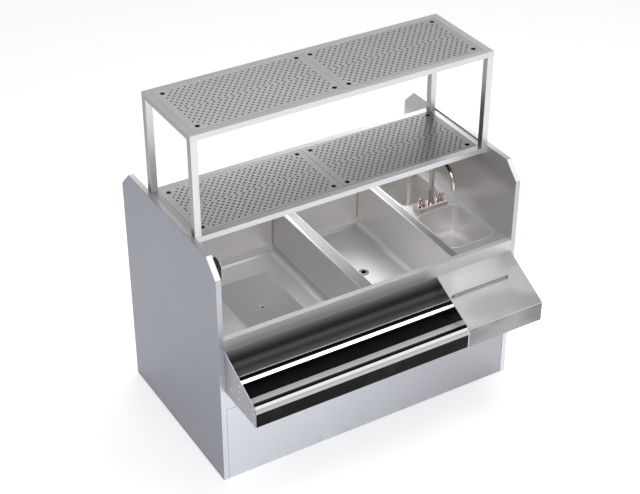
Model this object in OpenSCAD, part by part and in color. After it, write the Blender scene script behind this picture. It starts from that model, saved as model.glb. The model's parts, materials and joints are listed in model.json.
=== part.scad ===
// Free-standing bar station: ice bin, open well, small sink with gooseneck faucet, double
// bottle rail, corner ledge and a two-tier glass stand between two full-height side panels.
// Lengths are in millimetres. X runs left to right, Y front to back, Z up from the floor.

/* [Cabinet] */
// Overall width over both side panels
body_w = 1524; // [1270:1:1830]
// Depth of the side panels
body_d = 889; // [740:1:1070]
// Height of the side panels
side_h = 1143; // [1060:1:1380]
// Thickness of a side panel
side_t = 25.4; // [18:0.2:40]
// Leg of the chamfer on each top corner of a side panel
corner_cut = 76.2; // [40:0.2:120]
// Height of the removable front panel
access_h = 392; // [320:1:440]
// Depth of the folded edges on the front panels
fold_d = 15; // [10:1:25]
// Depth of the folded edges on the back panel
back_t = 20; // [12:1:30]
// Width and height of the frame at the floor
base_w = 30; // [20:1:50]
// Sheet metal thickness
sheet = 1.5; // [1:0.1:3]

/* [Deck] */
// Height of the work surface
deck_h = 760; // [700:1:920]
// Height of the back splash above the work surface
splash_h = 104; // [50:1:200]
// Height of the vertical apron below the front rim
apron_h = 57; // [40:1:80]
// Width of the flat rim along the front
rim_w = 28; // [24:1:45]
// Width of the ledge left of the open well
left_ledge_w = 12.7; // [8:0.1:30]
// Width of the ledge right of the sink
right_ledge_w = 32.6; // [20:0.1:60]
// Width of the deck behind the bins
rear_ledge_w = 63; // [30:1:120]
// Width of the divider between the open well and the ice bin
divider_a_w = 61; // [58:1:90]
// Width of the divider between the ice bin and the sink
divider_b_w = 46.3; // [44:0.1:80]
// Height of the rolled bead on a divider
bead_h = 5; // [3:0.5:8]

/* [Bins] */
// Width of the ice bin
ice_w = 413; // [300:1:500]
// Depth of both bins below the work surface
bin_depth = 242; // [180:1:295]
// Radius of a bin's upright corners
bin_corner_r = 8; // [4:1:30]
// Radius where a bin's walls meet its floor
bin_cove_r = 38; // [15:1:60]
// Thickness of the foam around the ice bin
foam_t = 25; // [10:1:27]
// Thickness of the foam in front of the ice bin
foam_front_t = 10; // [5:1:11]

/* [Sink] */
// Width of the sink bowl
bowl_w = 237; // [180:1:290]
// Front-to-back length of the sink bowl
bowl_d = 305; // [240:1:370]
// Distance from the panel fronts to the bowl
bowl_front = 76; // [50:1:95]
// Depth of the sink bowl
bowl_depth = 150; // [100:1:200]
// Radius of the corners of the bowl and the rear well
bowl_r = 38; // [20:1:60]
// How much narrower the rear well is than the bowl
rear_step = 9; // [0:1:40]
// Gap between the bowl and the rear well, where the faucet stands
faucet_ledge_d = 97; // [92:1:130]
// Width of the deck behind the rear well
rear_well_back = 129; // [60:1:200]
// Width of the bright bead around the bowl and the rear well
rim_bead_w = 4; // [2:0.5:8]

/* [Blender shelf] */
// Width of the loose shelf over the open well
shelf_w = 272; // [200:1:330]
// Front-to-back length of the shelf
shelf_d = 322; // [200:1:390]
// Distance from the well's left wall to the shelf
shelf_in = 115; // [20:1:140]
// Height of the shelf's folded edges
shelf_edge_h = 24; // [15:1:40]
// Distance of the finger hole from the shelf's left edge
shelf_hole_x = 127; // [30:1:180]
// Distance of the finger hole from the shelf's front edge
shelf_hole_y = 100; // [30:1:220]

/* [Drains] */
// Outside diameter of a bin's drain flange
drain_flange_d = 50; // [44:1:80]
// Outside diameter of the sink's drain flange
sink_flange_d = 75; // [50:1:90]
// Bore of a drain
drain_bore_d = 25.4; // [20:0.1:36]
// Wall of a drain's tail pipe
drain_wall = 4; // [3:0.5:6]
// Length of a drain's tail pipe below its lock nut
drain_tail_l = 60; // [40:1:75]
// Diameter of the rim of the sink's lift-out strainer
strainer_d = 29.3; // [27:0.1:32]

/* [Faucet] */
// Width of the faucet base
tap_base_w = 164; // [140:1:200]
// Depth of the faucet base
tap_base_d = 50; // [44:1:70]
// Height of the faucet base
tap_base_h = 26; // [22:1:40]
// Distance of the spout from the bowl's left edge
tap_in = 113; // [90:1:140]
// Gap between the bowl and the faucet's base
tap_back = 12; // [6:1:18]
// Distance between the handle centres
tap_centres = 101.6; // [90:0.1:120]
// Outside diameter of the spout tube
spout_d = 22; // [16:0.5:24]
// Radius of the gooseneck bend
spout_bend_r = 84; // [60:1:110]
// Gap between the top of the gooseneck and the lower tier
spout_headroom = 60; // [10:0.1:80]
// Length of the straight outlet after the bend
spout_drop = 5; // [3:1:60]
// Height of the flare at the foot of the spout
spout_flare_h = 40; // [10:1:80]
// Span of a cross handle
handle_span = 46; // [36:1:56]
// Running clearance on a radius in the turning parts
run_gap = 0.05; // [0.02:0.01:0.1]

/* [Bottle rail] */
// How far the rail stands out from the cabinet
rail_d = 263; // [240:1:300]
// Height of the rail's back
rail_h = 219; // [200:1:260]
// Slope of the rail's top from back to front, in degrees
rail_slope = 25.3; // [15:0.1:28]
// Radius of the rail's front roll
rail_roll_r = 45; // [25:1:60]
// Thickness of an end plate
rail_end_t = 3; // [2:0.5:5]
// Depth of the rail's floor below the top of its back
rail_floor_drop = 159; // [130:1:175]
// Front-to-back room of the back row
rail_back_row = 125; // [100:1:130]
// Thickness of the divider between the rows
rail_divider_t = 27; // [20:1:34]
// Radius of the divider's rolled front edge
rail_divider_r = 9; // [4:1:12]
// Thickness of the front lip
rail_lip_t = 27; // [24:1:30]

/* [Corner ledge] */
// Length of the corner ledge
ledge_w = 404.4; // [300:0.1:500]
// How far the corner ledge stands out from the cabinet
ledge_d = 254; // [200:1:260]
// Height of the corner ledge's back
ledge_h = 229; // [200:1:260]
// Slope of the corner ledge, in degrees
ledge_slope = 27.7; // [15:0.1:32]
// Radius of the corner ledge's front roll
ledge_roll_r = 37; // [15:1:50]
// Distance from the ledge's left end to the towel bar
towel_left = 16; // [10:1:60]
// Distance from the ledge's right end to the towel bar
towel_right = 92; // [10:1:120]
// Diameter of the towel bar
towel_d = 6; // [4:0.5:12]
// Distance from the ledge to the towel bar's centre line
towel_stand = 13; // [10:1:30]
// Distance down the slope to the towel bar
towel_down = 116; // [60:1:150]

/* [Glass stand] */
// How far the lower tier's top lies below the top of the side panels
tier_drop = 6; // [0:1:60]
// Height from the lower tier's top to the upper tier's top
tier_rise = 477; // [300:1:600]
// Depth of both tiers
tier_d = 442; // [360:1:530]
// Distance from the panel fronts to the tiers
tier_front = 223; // [150:1:260]
// Width of a post and of a tier's frame members
post_w = 31.8; // [25:0.1:40]
// Height of a tier's frame members
tier_frame_h = 25.4; // [21:0.1:32]
// Wall of the posts and frame members
tube_t = 2; // [1.5:0.5:3]
// Width of the ledge that carries the inserts
insert_seat_w = 12; // [8:1:20]
// Gap between an insert and its frame
insert_gap = 1; // [0.5:0.1:2]
// Height of an insert's folded edges
insert_edge_h = 12; // [8:1:14]

/* [Perforation] */
// Diameter of the small holes
hole_d = 9.5; // [6:0.5:12]
// Diameter of the finger holes
finger_d = 22; // [18:1:27]
// Distance from an insert's side to a finger hole's centre
finger_in = 34; // [20:1:60]
// Distance between the holes of a row
hole_pitch = 30.1; // [26:0.1:36]
// Distance between rows
row_pitch = 17.4; // [15:0.1:21]
// Distance between the two middle rows
middle_pitch = 19.8; // [16:0.1:24]
// Plain border in front of and behind the holes
plain_border = 15; // [8:1:60]

/* [Outlet] */
// Width of the outlet's box
outlet_w = 52; // [45:1:70]
// Height of the outlet's box
outlet_h = 84; // [76:1:120]
// How far the outlet's box stands off the side panel
outlet_t = 20; // [15:1:40]
// Distance of the outlet's centre from the front edge of the panel
outlet_back = 64; // [60:1:180]
// Distance of the outlet's centre below the top of the panel
outlet_down = 67; // [64:1:180]

/* [Hidden] */
$fn = 48;

// Colours
STEEL = [0.78, 0.79, 0.81];
BRIGHT = [0.88, 0.88, 0.89];
WARM = [0.70, 0.68, 0.66];
DARK = [0.16, 0.16, 0.17];
BLACK = [0.05, 0.05, 0.05];
FOAM = [0.90, 0.86, 0.70];
BRASS = [0.72, 0.58, 0.32];

// Allowances
cut = 1;            // how far a cutter runs past a face
panel_seam = 1;     // seam around the loose front panel
tier_gap = 0.2;     // gap between a tier and a side panel
ledge_gap = 2;      // gap between the rail and the corner ledge
shelf_gap = 2;      // gap between the loose shelf and the well's front wall
screw_gap = 0.4;    // how much wider a clearance hole is than its screw
shank_gap = 1;      // how much wider a deck hole is than its shank

// Cabinet
inner_w = body_w - 2 * side_t;
inner_d = body_d - back_t;
face_y = (rail_d - body_d) / 2;
apron_z = deck_h - apron_h;
back_h = deck_h + splash_h;
base_y = 2 * fold_d;
catch_size = [14, 20, 30];
catch_in = 60;

// Deck layout, measured from the left outer corner
well_x = side_t + left_ledge_w;
sink_x = body_w - side_t - right_ledge_w - bowl_w;
ice_x = sink_x - divider_b_w - ice_w;
well_w = ice_x - divider_a_w - well_x;
seam_x = sink_x - divider_b_w / 2;
bin_y = rim_w;
bin_d = inner_d - rear_ledge_w - bin_y;
bin_floor_z = deck_h - bin_depth;
tub_top_z = deck_h - sheet;
rear_y = bowl_front + bowl_d + faucet_ledge_d;
rear_w = bowl_w - rear_step;
rear_d = inner_d - rear_well_back - rear_y;
rim_bead_h = 1.5;

// Drains
drain_tail_d = drain_bore_d + 2 * drain_wall;
drain_neck_d = drain_tail_d + 1.6;
drain_nut_d = 52;
drain_nut_h = 10;
drain_flange_h = 2;
strainer_seat_h = 6;
strainer_t = 2;
strainer_holes = 8;
strainer_hole_d = 4;
knob_d = 8;
knob_h = 6;
well_drain = [well_x + well_w / 2, bin_y + bin_d / 2, bin_floor_z];
ice_drain = [ice_x + ice_w / 2, bin_y + bin_d / 2, bin_floor_z];
rear_drain = [sink_x + rear_w / 2, rear_y + rear_d / 2, bin_floor_z];
bowl_drain = [sink_x + bowl_w / 2, bowl_front + bowl_d / 2, deck_h - bowl_depth];

// Blender shelf
shelf_x = well_x + shelf_in;
arm_w = 25;
arm_in = 20;
arm_web_h = 20;
arm_foot_h = 80;
arm_l = shelf_d - shelf_edge_h;

// Outlet on the left liner, below the chamfer
outlet_centre = [outlet_back, side_h - outlet_down];
outlet_corner = 18;
outlet_plate_t = 2;
outlet_plate_edge = 5;
socket_d = 34;
socket_t = 5;
socket_pitch = 38;
socket_slot = [9, 2.4];
socket_slot_pitch = 12.7;
socket_ground_d = 4.8;

// Faucet
tap_x = sink_x + tap_in;
tap_y = bowl_front + bowl_d + tap_back + tap_base_d / 2;
tap_top_z = deck_h + tap_base_h;
tap_edge = 4;
bend_z = side_h - tier_drop - tier_frame_h - spout_headroom - spout_d / 2 - spout_bend_r;
stem_d = 18;
stem_l = 18;
collar_d = 34;
collar_h = 8;
flare_d = 30;
bonnet_d = 26;
bonnet_foot_d = 32;
bonnet_h = 18;
valve_d = 12;
valve_l = 12;
hub_d = 20;
hub_h = 16;
hub_cap_h = 3;
arm_d = 9;
shank_d = 20.6;
shank_l = 60;
shank_bore_d = 12;
nut_d = 38;
nut_h = 8;
aerator_in = 1;
aerator_h = 8;
aerator_bore_d = 15;

// Bottle rail, measured from the panel fronts
rail_x = side_t;
rail_l = inner_w - ledge_gap - ledge_w;
rail_bottom_z = apron_z - rail_h;
rail_floor_z = apron_z - rail_floor_drop;
rail_return_w = 18;
divider_back_r = 5;
rivet_d = 8;
rivet_h = 1;
rivet_in = 6;
rivet_wall_y = -49;
rivet_low_y = -178;
rivet_high_drop = 19;
rivet_low_drop = 43;
bolt_d = 8;
bolt_head_d = 14;
bolt_head_h = 5;
bolt_drop = 40;
bolt_z = apron_z - bolt_drop;

// Corner ledge
ledge_x = rail_x + rail_l + ledge_gap;
ledge_bottom_z = apron_z - ledge_h;
ledge_return_w = 25;
towel_l = ledge_w - towel_left - towel_right;
towel_flange_d = 14;
towel_flange_h = 2;

// Glass stand
tier_low_h = side_h - tier_drop;
tier_high_h = tier_low_h + tier_rise;
tier_w = inner_w - 2 * tier_gap;
tier_x = side_t + tier_gap;
open_w = tier_w - 2 * post_w;
open_d = tier_d - 2 * post_w;
post_l = tier_rise - tier_frame_h;
plug_h = 12;
bar_w = 40;
bar_web_h = 8;
screw_d = 6;
screw_head_d = 12;
screw_head_h = 2.5;
screw_l = 16;
bracket_leg = 25;
bracket_t = 3;
bracket_screws_n = 3;

// Inserts and their holes
insert_w = open_w / 2 - insert_gap;
insert_d = open_d - 2 * insert_gap;
hole_columns = floor((insert_w - finger_d) / hole_pitch);
half_rows = 1 + floor((insert_d / 2 - middle_pitch / 2 - plain_border) / row_pitch);
finger_x = insert_w / 2 - finger_in;
finger_y = middle_pitch / 2 + (half_rows - 1.5) * row_pitch;

// Puts its children in the frame whose origin is the left panel's lower front corner
module from_corner() {
    translate([-body_w / 2, face_y, 0]) children();
}

// Extrudes a Y-Z outline along X
module along_x(x, length) {
    translate([x, 0, 0]) rotate([90, 0, 90]) linear_extrude(length) children();
}

// Extrudes an X-Z outline along Y
module along_y(y, length) {
    translate([0, y + length, 0]) rotate([90, 0, 0]) linear_extrude(length) children();
}

// Mirrors its children to the right half of the station
module on_right() {
    translate([body_w, 0, 0]) mirror([1, 0, 0]) children();
}

// Rectangle with four round corners
module round_rect(w, d, r) {
    translate([r, 0]) square([w - 2 * r, d]);
    translate([0, r]) square([w, d - 2 * r]);
    for (x = [r, w - r], y = [r, d - r])
        translate([x, y]) circle(r);
}

// Rectangle whose two lower corners are round
module coved_rect(w, h, r) {
    translate([0, r]) square([w, h - r]);
    translate([r, 0]) square([w - 2 * r, h]);
    for (x = [r, w - r])
        translate([x, r]) circle(r);
}

// What a fillet of radius r takes off the corner p, whose edges leave it at angles a and b
module corner_off(p, a, b, r) {
    half = (b - a) / 2;
    mid = (a + b) / 2;
    reach = r / tan(half);
    centre = p + r / sin(half) * [cos(mid), sin(mid)];
    difference() {
        polygon([
            centre, p + reach * [cos(a), sin(a)], p - cut * [cos(mid), sin(mid)],
            p + reach * [cos(b), sin(b)]]);
        translate(centre) circle(r);
    }
}

// Solid of a tub's space: round upright corners and a coved floor
module tub_block(w, d, h, corner_r, cove_r) {
    intersection() {
        linear_extrude(h) round_rect(w, d, corner_r);
        along_x(0, w) coved_rect(d, h, cove_r);
        along_y(0, d) coved_rect(w, h, cove_r);
    }
}

// Sheet-metal tub with its inside corner at [x, y] and a hole for a drain in its floor
module tub(x, y, w, d, depth, corner_r, cove_r, drain) {
    h = depth - sheet;
    difference() {
        translate([x - sheet, y - sheet, deck_h - depth - sheet])
            tub_block(w + 2 * sheet, d + 2 * sheet, h + sheet, corner_r + sheet, cove_r + sheet);
        translate([x, y, deck_h - depth]) tub_block(w, d, h + cut, corner_r, cove_r);
        translate([drain[0], drain[1], drain[2] - sheet - cut])
            cylinder(d = drain_neck_d + 2 * run_gap, h = sheet + 2 * cut);
    }
}

// Outline of a side panel in Y-Z, shrunk by an inset
module side_outline(inset) {
    leg = corner_cut + inset * (sqrt(2) - 1);
    polygon([
        [inset, inset], [body_d - inset, inset], [body_d - inset, side_h - leg],
        [body_d - leg, side_h - inset], [leg, side_h - inset], [inset, side_h - leg]]);
}

module side_pan() {
    difference() {
        along_x(0, side_t) side_outline(0);
        along_x(sheet, side_t) side_outline(sheet);
    }
}

module side_liner() {
    along_x(side_t - sheet, sheet) side_outline(sheet);
}

module side_panel_left() {
    color(STEEL) from_corner() side_pan();
}

module side_panel_right() {
    color(STEEL) from_corner() on_right() side_pan();
}

module side_liners() {
    color(STEEL) from_corner() {
        side_liner();
        on_right() side_liner();
    }
}

// Pan that closes the guest side, open towards the inside
module back_panel() {
    color(STEEL) from_corner() translate([side_t, body_d - back_t, 0]) difference() {
        cube([inner_w, back_t, back_h]);
        translate([sheet, -cut, sheet])
            cube([inner_w - 2 * sheet, back_t - sheet + cut, back_h - 2 * sheet]);
    }
}

// Rectangular ring of inverted channel: w by d outside, members member_w wide and h high
module channel_ring(w, d, member_w, h, wall) {
    difference() {
        cube([w, d, h]);
        translate([member_w, member_w, -cut])
            cube([w - 2 * member_w, d - 2 * member_w, h + 2 * cut]);
        difference() {
            translate([wall, wall, -cut]) cube([w - 2 * wall, d - 2 * wall, h - wall + cut]);
            translate([member_w - wall, member_w - wall, -2 * cut])
                cube([w - 2 * (member_w - wall), d - 2 * (member_w - wall), h + 3 * cut]);
        }
    }
}

module base_frame() {
    color(STEEL) from_corner() translate([side_t, base_y, 0])
        channel_ring(inner_w, inner_d - base_y, base_w, base_w, sheet);
}

// Front pan of width w and height h with folded edges
module front_pan(w, h) {
    difference() {
        cube([w, fold_d, h]);
        translate([sheet, sheet, sheet]) cube([w - 2 * sheet, fold_d, h - 2 * sheet]);
    }
}

module front_fascia() {
    color(STEEL) from_corner() difference() {
        translate([side_t, 0, access_h]) front_pan(inner_w, apron_z - access_h);
        for (x = bolt_x)
            translate([x, -cut, bolt_z]) rotate([-90, 0, 0])
                cylinder(d = bolt_d + screw_gap, h = sheet + 2 * cut);
    }
}

module access_panel() {
    color(STEEL) from_corner() translate([side_t + panel_seam, 0, panel_seam])
        front_pan(inner_w - 2 * panel_seam, access_h - 2 * panel_seam);
}

// Catches that hold the loose front panel by its folded edges
module access_panel_catches() {
    color(DARK) from_corner()
        for (x = [side_t, body_w - side_t - catch_size[0]],
             z = [catch_in, access_h - catch_in - catch_size[2]])
            translate([x, fold_d, z]) cube(catch_size);
}

// Length w of work surface from x on, with its front apron and rear splash;
// its children are the outlines of its openings
module deck_length(x, w) {
    difference() {
        translate([x, 0, tub_top_z]) cube([w, inner_d, sheet]);
        translate([0, 0, tub_top_z - cut]) linear_extrude(sheet + 2 * cut) children();
    }
    translate([x, 0, apron_z]) cube([w, sheet, apron_h - sheet]);
    translate([x, inner_d - sheet, deck_h]) cube([w, sheet, splash_h]);
}

// Work surface around both bins
module deck_top() {
    color(BRIGHT) from_corner() deck_length(side_t, seam_x - side_t) {
        translate([well_x, bin_y]) round_rect(well_w, bin_d, bin_corner_r);
        translate([ice_x, bin_y]) round_rect(ice_w, bin_d, bin_corner_r);
    }
}

// Work surface around the sink, butted to the other under the right divider
module sink_deck() {
    color(BRIGHT) from_corner() deck_length(seam_x, side_t + inner_w - seam_x) {
        translate([sink_x, bowl_front]) round_rect(bowl_w, bowl_d, bowl_r);
        translate([sink_x, rear_y]) round_rect(rear_w, rear_d, bowl_r);
        for (side = [-1, 1])
            translate([tap_x + side * tap_centres / 2, tap_y]) circle(d = shank_d + shank_gap);
    }
}

// Flat cap with a rolled bead on its left and a fine one near its right edge
module divider_cap(x, w) {
    fine_r = bead_h / 2;
    color(BRIGHT) from_corner() along_y(bin_y, bin_d) translate([x, deck_h]) intersection() {
        union() {
            square([w, sheet]);
            translate([bead_h, 0]) circle(bead_h);
            translate([w - 2 * fine_r, 0]) circle(fine_r);
        }
        square([w, bead_h]);
    }
}

module divider_cap_left() {
    divider_cap(well_x + well_w, divider_a_w);
}

module divider_cap_right() {
    divider_cap(ice_x + ice_w, divider_b_w - rim_bead_w);
}

module open_well() {
    color(WARM) from_corner()
        tub(well_x, bin_y, well_w, bin_d, bin_depth, bin_corner_r, bin_cove_r, well_drain);
}

module ice_bin_liner() {
    color(WARM) from_corner()
        tub(ice_x, bin_y, ice_w, bin_d, bin_depth, bin_corner_r, bin_cove_r, ice_drain);
}

// Foam jacket around the ice bin
module ice_bin_foam() {
    grow = sheet + foam_t;
    front = sheet + foam_front_t;
    h = bin_depth - sheet;
    color(FOAM) from_corner() difference() {
        translate([ice_x - grow, bin_y - front, bin_floor_z - grow])
            cube([ice_w + 2 * grow, bin_d + front + grow, h + grow]);
        translate([ice_x - sheet, bin_y - sheet, bin_floor_z - sheet])
            tub_block(ice_w + 2 * sheet, bin_d + 2 * sheet, h + sheet + cut,
                bin_corner_r + sheet, bin_cove_r + sheet);
        translate([ice_drain[0], ice_drain[1], bin_floor_z - grow - cut])
            cylinder(d = drain_neck_d + shank_gap, h = grow + cut);
    }
}

module rear_well() {
    color(WARM) from_corner()
        tub(sink_x, rear_y, rear_w, rear_d, bin_depth, bowl_r, bowl_r, rear_drain);
}

module sink_bowl() {
    color(WARM) from_corner()
        tub(sink_x, bowl_front, bowl_w, bowl_d, bowl_depth, bowl_r, bowl_r, bowl_drain);
}

// Raised bead around an opening at [x, y]
module rim_bead(x, y, w, d) {
    grow = rim_bead_w;
    translate([x, y, deck_h]) linear_extrude(rim_bead_h) difference() {
        translate([-grow, -grow]) round_rect(w + 2 * grow, d + 2 * grow, bowl_r + grow);
        round_rect(w, d, bowl_r);
    }
}

module bowl_beads() {
    color(BRIGHT) from_corner() {
        rim_bead(sink_x, bowl_front, bowl_w, bowl_d);
        rim_bead(sink_x, rear_y, rear_w, rear_d);
    }
}

// Drain: a flange on the tub's floor, a neck, a lock nut and a tail pipe
module drain(place, flange_d, neck_l) {
    nut_z = -sheet - neck_l - drain_nut_h;
    tail_z = nut_z - drain_tail_l;
    translate(place) difference() {
        union() {
            cylinder(d = flange_d, h = drain_flange_h);
            translate([0, 0, nut_z]) cylinder(d = drain_neck_d, h = -nut_z);
            translate([0, 0, nut_z]) cylinder(d = drain_nut_d, h = drain_nut_h, $fn = 6);
            translate([0, 0, tail_z]) cylinder(d = drain_tail_d, h = drain_tail_l);
        }
        translate([0, 0, tail_z - cut])
            cylinder(d = drain_bore_d, h = drain_flange_h - tail_z + 2 * cut);
    }
}

module open_well_drain() {
    color(BRIGHT) from_corner() drain(well_drain, drain_flange_d, 0);
}

module ice_bin_drain() {
    color(BRIGHT) from_corner() drain(ice_drain, drain_flange_d, foam_t);
}

module rear_well_drain() {
    color(BRIGHT) from_corner() drain(rear_drain, drain_flange_d, 0);
}

// Drain with a seat for the strainer
module sink_drain() {
    color(BRIGHT) from_corner() difference() {
        drain(bowl_drain, sink_flange_d, 0);
        translate(bowl_drain) translate([0, 0, drain_flange_h - strainer_seat_h])
            cylinder(d = strainer_d + 2 * run_gap, h = strainer_seat_h + cut);
    }
}

// Lift-out strainer with a knob
module sink_strainer() {
    ring_r = (strainer_d + knob_d) / 4;
    color(BRIGHT) from_corner()
        translate(bowl_drain) translate([0, 0, drain_flange_h - strainer_seat_h]) {
            difference() {
                cylinder(d = strainer_d, h = strainer_t);
                for (i = [0 : strainer_holes - 1])
                    rotate([0, 0, i * 360 / strainer_holes]) translate([ring_r, 0, -cut])
                        cylinder(d = strainer_hole_d, h = strainer_t + 2 * cut);
            }
            cylinder(d = knob_d / 2, h = strainer_t + knob_h);
            translate([0, 0, strainer_t + knob_h / 2]) cylinder(d = knob_d, h = knob_h / 2);
        }
}

// Loose plate over the open well, with folded sides and a finger hole
module blender_shelf() {
    color(STEEL) from_corner()
        translate([shelf_x, bin_y + shelf_gap, deck_h - shelf_edge_h]) difference() {
            cube([shelf_w, shelf_d, shelf_edge_h]);
            translate([sheet, -cut, -cut])
                cube([shelf_w - 2 * sheet, shelf_d - sheet + cut, shelf_edge_h - sheet + cut]);
            translate([shelf_hole_x, shelf_hole_y, 0])
                cylinder(d = finger_d, h = shelf_edge_h + cut);
        }
}

// Two arms from the well's front wall that carry the shelf
module blender_shelf_arms() {
    top = deck_h - sheet;
    color(WARM) from_corner()
        for (x = [shelf_x + arm_in, shelf_x + shelf_w - arm_in - arm_w]) {
            translate([x, bin_y, top - sheet]) cube([arm_w, arm_l, sheet]);
            translate([x + (arm_w - sheet) / 2, bin_y, top - arm_web_h])
                cube([sheet, arm_l, arm_web_h]);
            translate([x, bin_y, top - arm_foot_h]) cube([arm_w, sheet, arm_foot_h]);
        }
}

// Outlet outline in Y-Z, grown by a margin, with its front corner cut along the chamfer
module outlet_outline(grow) {
    w = outlet_w / 2 + grow;
    h = outlet_h / 2 + grow;
    translate(outlet_centre)
        polygon([[-w, -h], [w, -h], [w, h], [outlet_corner - w, h], [-w, h - outlet_corner]]);
}

module outlet_box() {
    color(DARK) from_corner() along_x(side_t, outlet_t) outlet_outline(0);
}

// Centre of the upper (1) or lower (-1) socket, facing away from the side panel
module socket_place(side, x) {
    translate([x, outlet_centre[0], outlet_centre[1] + side * socket_pitch / 2])
        rotate([0, 90, 0]) children();
}

module outlet_plate() {
    x = side_t + outlet_t;
    color(BRIGHT) from_corner() difference() {
        along_x(x, outlet_plate_t) intersection() {
            outlet_outline(outlet_plate_edge);
            side_outline(sheet);
        }
        for (side = [-1, 1])
            socket_place(side, x - cut)
                cylinder(d = socket_d + screw_gap, h = outlet_plate_t + 2 * cut);
    }
}

// Duplex receptacle: two round faces, each with two blade slots and a ground hole
module outlet_receptacle() {
    x = side_t + outlet_t;
    depth = socket_t - outlet_plate_t;
    color(BLACK) from_corner()
        for (side = [-1, 1])
            difference() {
                socket_place(side, x) cylinder(d = socket_d, h = socket_t);
                socket_place(side, x + outlet_plate_t) linear_extrude(depth + cut) {
                    for (y = [-1, 1])
                        translate([-socket_slot[0], (y * socket_slot_pitch - socket_slot[1]) / 2])
                            square(socket_slot);
                    translate([socket_slot[0] * 0.8, 0]) circle(d = socket_ground_d);
                }
            }
}

// Outline of the faucet base's end: a box with its top edges bevelled
module tap_outline(w) {
    polygon([
        [0, 0], [w, 0], [w, tap_base_h - tap_edge], [w - tap_edge, tap_base_h],
        [tap_edge, tap_base_h], [0, tap_base_h - tap_edge]]);
}

// Box-shaped faucet base with a bearing for the spout
module faucet_base() {
    color(BRIGHT) from_corner() difference() {
        translate([tap_x - tap_base_w / 2, tap_y - tap_base_d / 2, deck_h]) intersection() {
            along_x(0, tap_base_w) tap_outline(tap_base_d);
            along_y(0, tap_base_d) tap_outline(tap_base_w);
        }
        translate([tap_x, tap_y, tap_top_z - stem_l - cut])
            cylinder(d = stem_d + 2 * run_gap, h = stem_l + 2 * cut);
    }
}

// Places its children at both valves, at height z
module at_valves(z) {
    for (side = [-1, 1])
        translate([tap_x + side * tap_centres / 2, tap_y, z]) children();
}

// Threaded tails below the deck, each with its lock nut
module faucet_shanks() {
    color(BRASS) from_corner() at_valves(deck_h - sheet - shank_l) difference() {
        union() {
            cylinder(d = shank_d, h = shank_l + sheet);
            translate([0, 0, shank_l - nut_h]) cylinder(d = nut_d, h = nut_h, $fn = 6);
        }
        translate([0, 0, -cut]) cylinder(d = shank_bore_d, h = shank_l);
    }
}

// Valve bonnets that the handles turn in
module faucet_bonnets() {
    color(BRIGHT) from_corner() at_valves(tap_top_z) difference() {
        cylinder(d1 = bonnet_foot_d, d2 = bonnet_d, h = bonnet_h);
        translate([0, 0, bonnet_h - valve_l - cut])
            cylinder(d = valve_d + 2 * run_gap, h = valve_l + 2 * cut);
    }
}

// Swivel gooseneck with a stem and a collar
module faucet_spout() {
    foot_z = tap_top_z + run_gap;
    color(BRIGHT) from_corner() translate([tap_x, tap_y, 0]) {
        translate([0, 0, tap_top_z - stem_l]) cylinder(d = stem_d, h = stem_l + cut);
        translate([0, 0, foot_z]) cylinder(d = collar_d, h = collar_h);
        translate([0, 0, foot_z + collar_h])
            cylinder(d1 = flare_d, d2 = spout_d, h = spout_flare_h);
        translate([0, 0, foot_z]) cylinder(d = spout_d, h = bend_z - foot_z);
        translate([0, -spout_bend_r, bend_z]) rotate([90, 0, 90])
            rotate_extrude(angle = 180) translate([spout_bend_r, 0]) circle(d = spout_d);
        translate([0, -2 * spout_bend_r, bend_z - spout_drop])
            cylinder(d = spout_d, h = spout_drop);
    }
}

module faucet_aerator() {
    tip_z = bend_z - spout_drop - aerator_h;
    color(BRIGHT) from_corner() translate([tap_x, tap_y - 2 * spout_bend_r, tip_z]) difference() {
        cylinder(d = spout_d - 2 * aerator_in, h = aerator_h);
        translate([0, 0, -cut]) cylinder(d = aerator_bore_d, h = aerator_h / 2 + cut);
    }
}

// Cross handle with a stem that turns in its bonnet
module cross_handle(side) {
    z = tap_top_z + bonnet_h + run_gap;
    reach = (handle_span - arm_d) / 2;
    color(BRIGHT) from_corner() translate([tap_x + side * tap_centres / 2, tap_y, z]) {
        translate([0, 0, -valve_l]) cylinder(d = valve_d, h = valve_l + cut);
        cylinder(d = hub_d, h = hub_h);
        translate([0, 0, hub_h]) cylinder(d1 = hub_d, d2 = hub_d - 2 * hub_cap_h, h = hub_cap_h);
        for (a = [0, 90])
            translate([0, 0, hub_h / 2]) rotate([0, 0, a]) {
                translate([-reach, 0, 0]) rotate([0, 90, 0]) cylinder(d = arm_d, h = 2 * reach);
                for (end = [-1, 1])
                    translate([end * reach, 0, 0]) sphere(d = arm_d, $fn = 24);
            }
    }
}

module hot_handle() {
    cross_handle(-1);
}

module cold_handle() {
    cross_handle(1);
}

// Y-Z outline of a sloping front that hangs on the apron: a slope, a roll and an upright face.
// Its top and its face move in by the inset.
function slope_z(y, slope, inset) = apron_z - inset / cos(slope) + y * tan(slope);

module front_outline(d, h, slope, roll_r, inset) {
    face = inset - d;
    corner = [face, slope_z(face, slope, inset)];
    difference() {
        polygon([
            [0, apron_z - h], [face, apron_z - h], corner, [0, slope_z(0, slope, inset)]]);
        corner_off(corner, -90, slope, roll_r - inset);
    }
}

module rail_outline(inset) {
    front_outline(rail_d, rail_h, rail_slope, rail_roll_r, inset);
}

// Folded sheet: back, floor, inner wall, rolled front lip and bottom return
module rail_trough() {
    wall_y = rail_lip_t - rail_d - sheet;
    low = rail_floor_z - sheet;
    color(BRIGHT) from_corner()
        along_x(rail_x + rail_end_t, rail_l - 2 * rail_end_t) intersection() {
            rail_outline(0);
            union() {
                translate([-sheet, low]) square([sheet, rail_h]);
                translate([wall_y, low]) square([-wall_y, sheet]);
                translate([wall_y, low]) square([sheet, rail_h]);
                translate([-rail_d, rail_bottom_z]) square([rail_return_w, sheet]);
                difference() {
                    translate([-rail_d, rail_bottom_z]) square([rail_lip_t, rail_h]);
                    rail_outline(sheet);
                }
            }
        }
}

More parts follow.
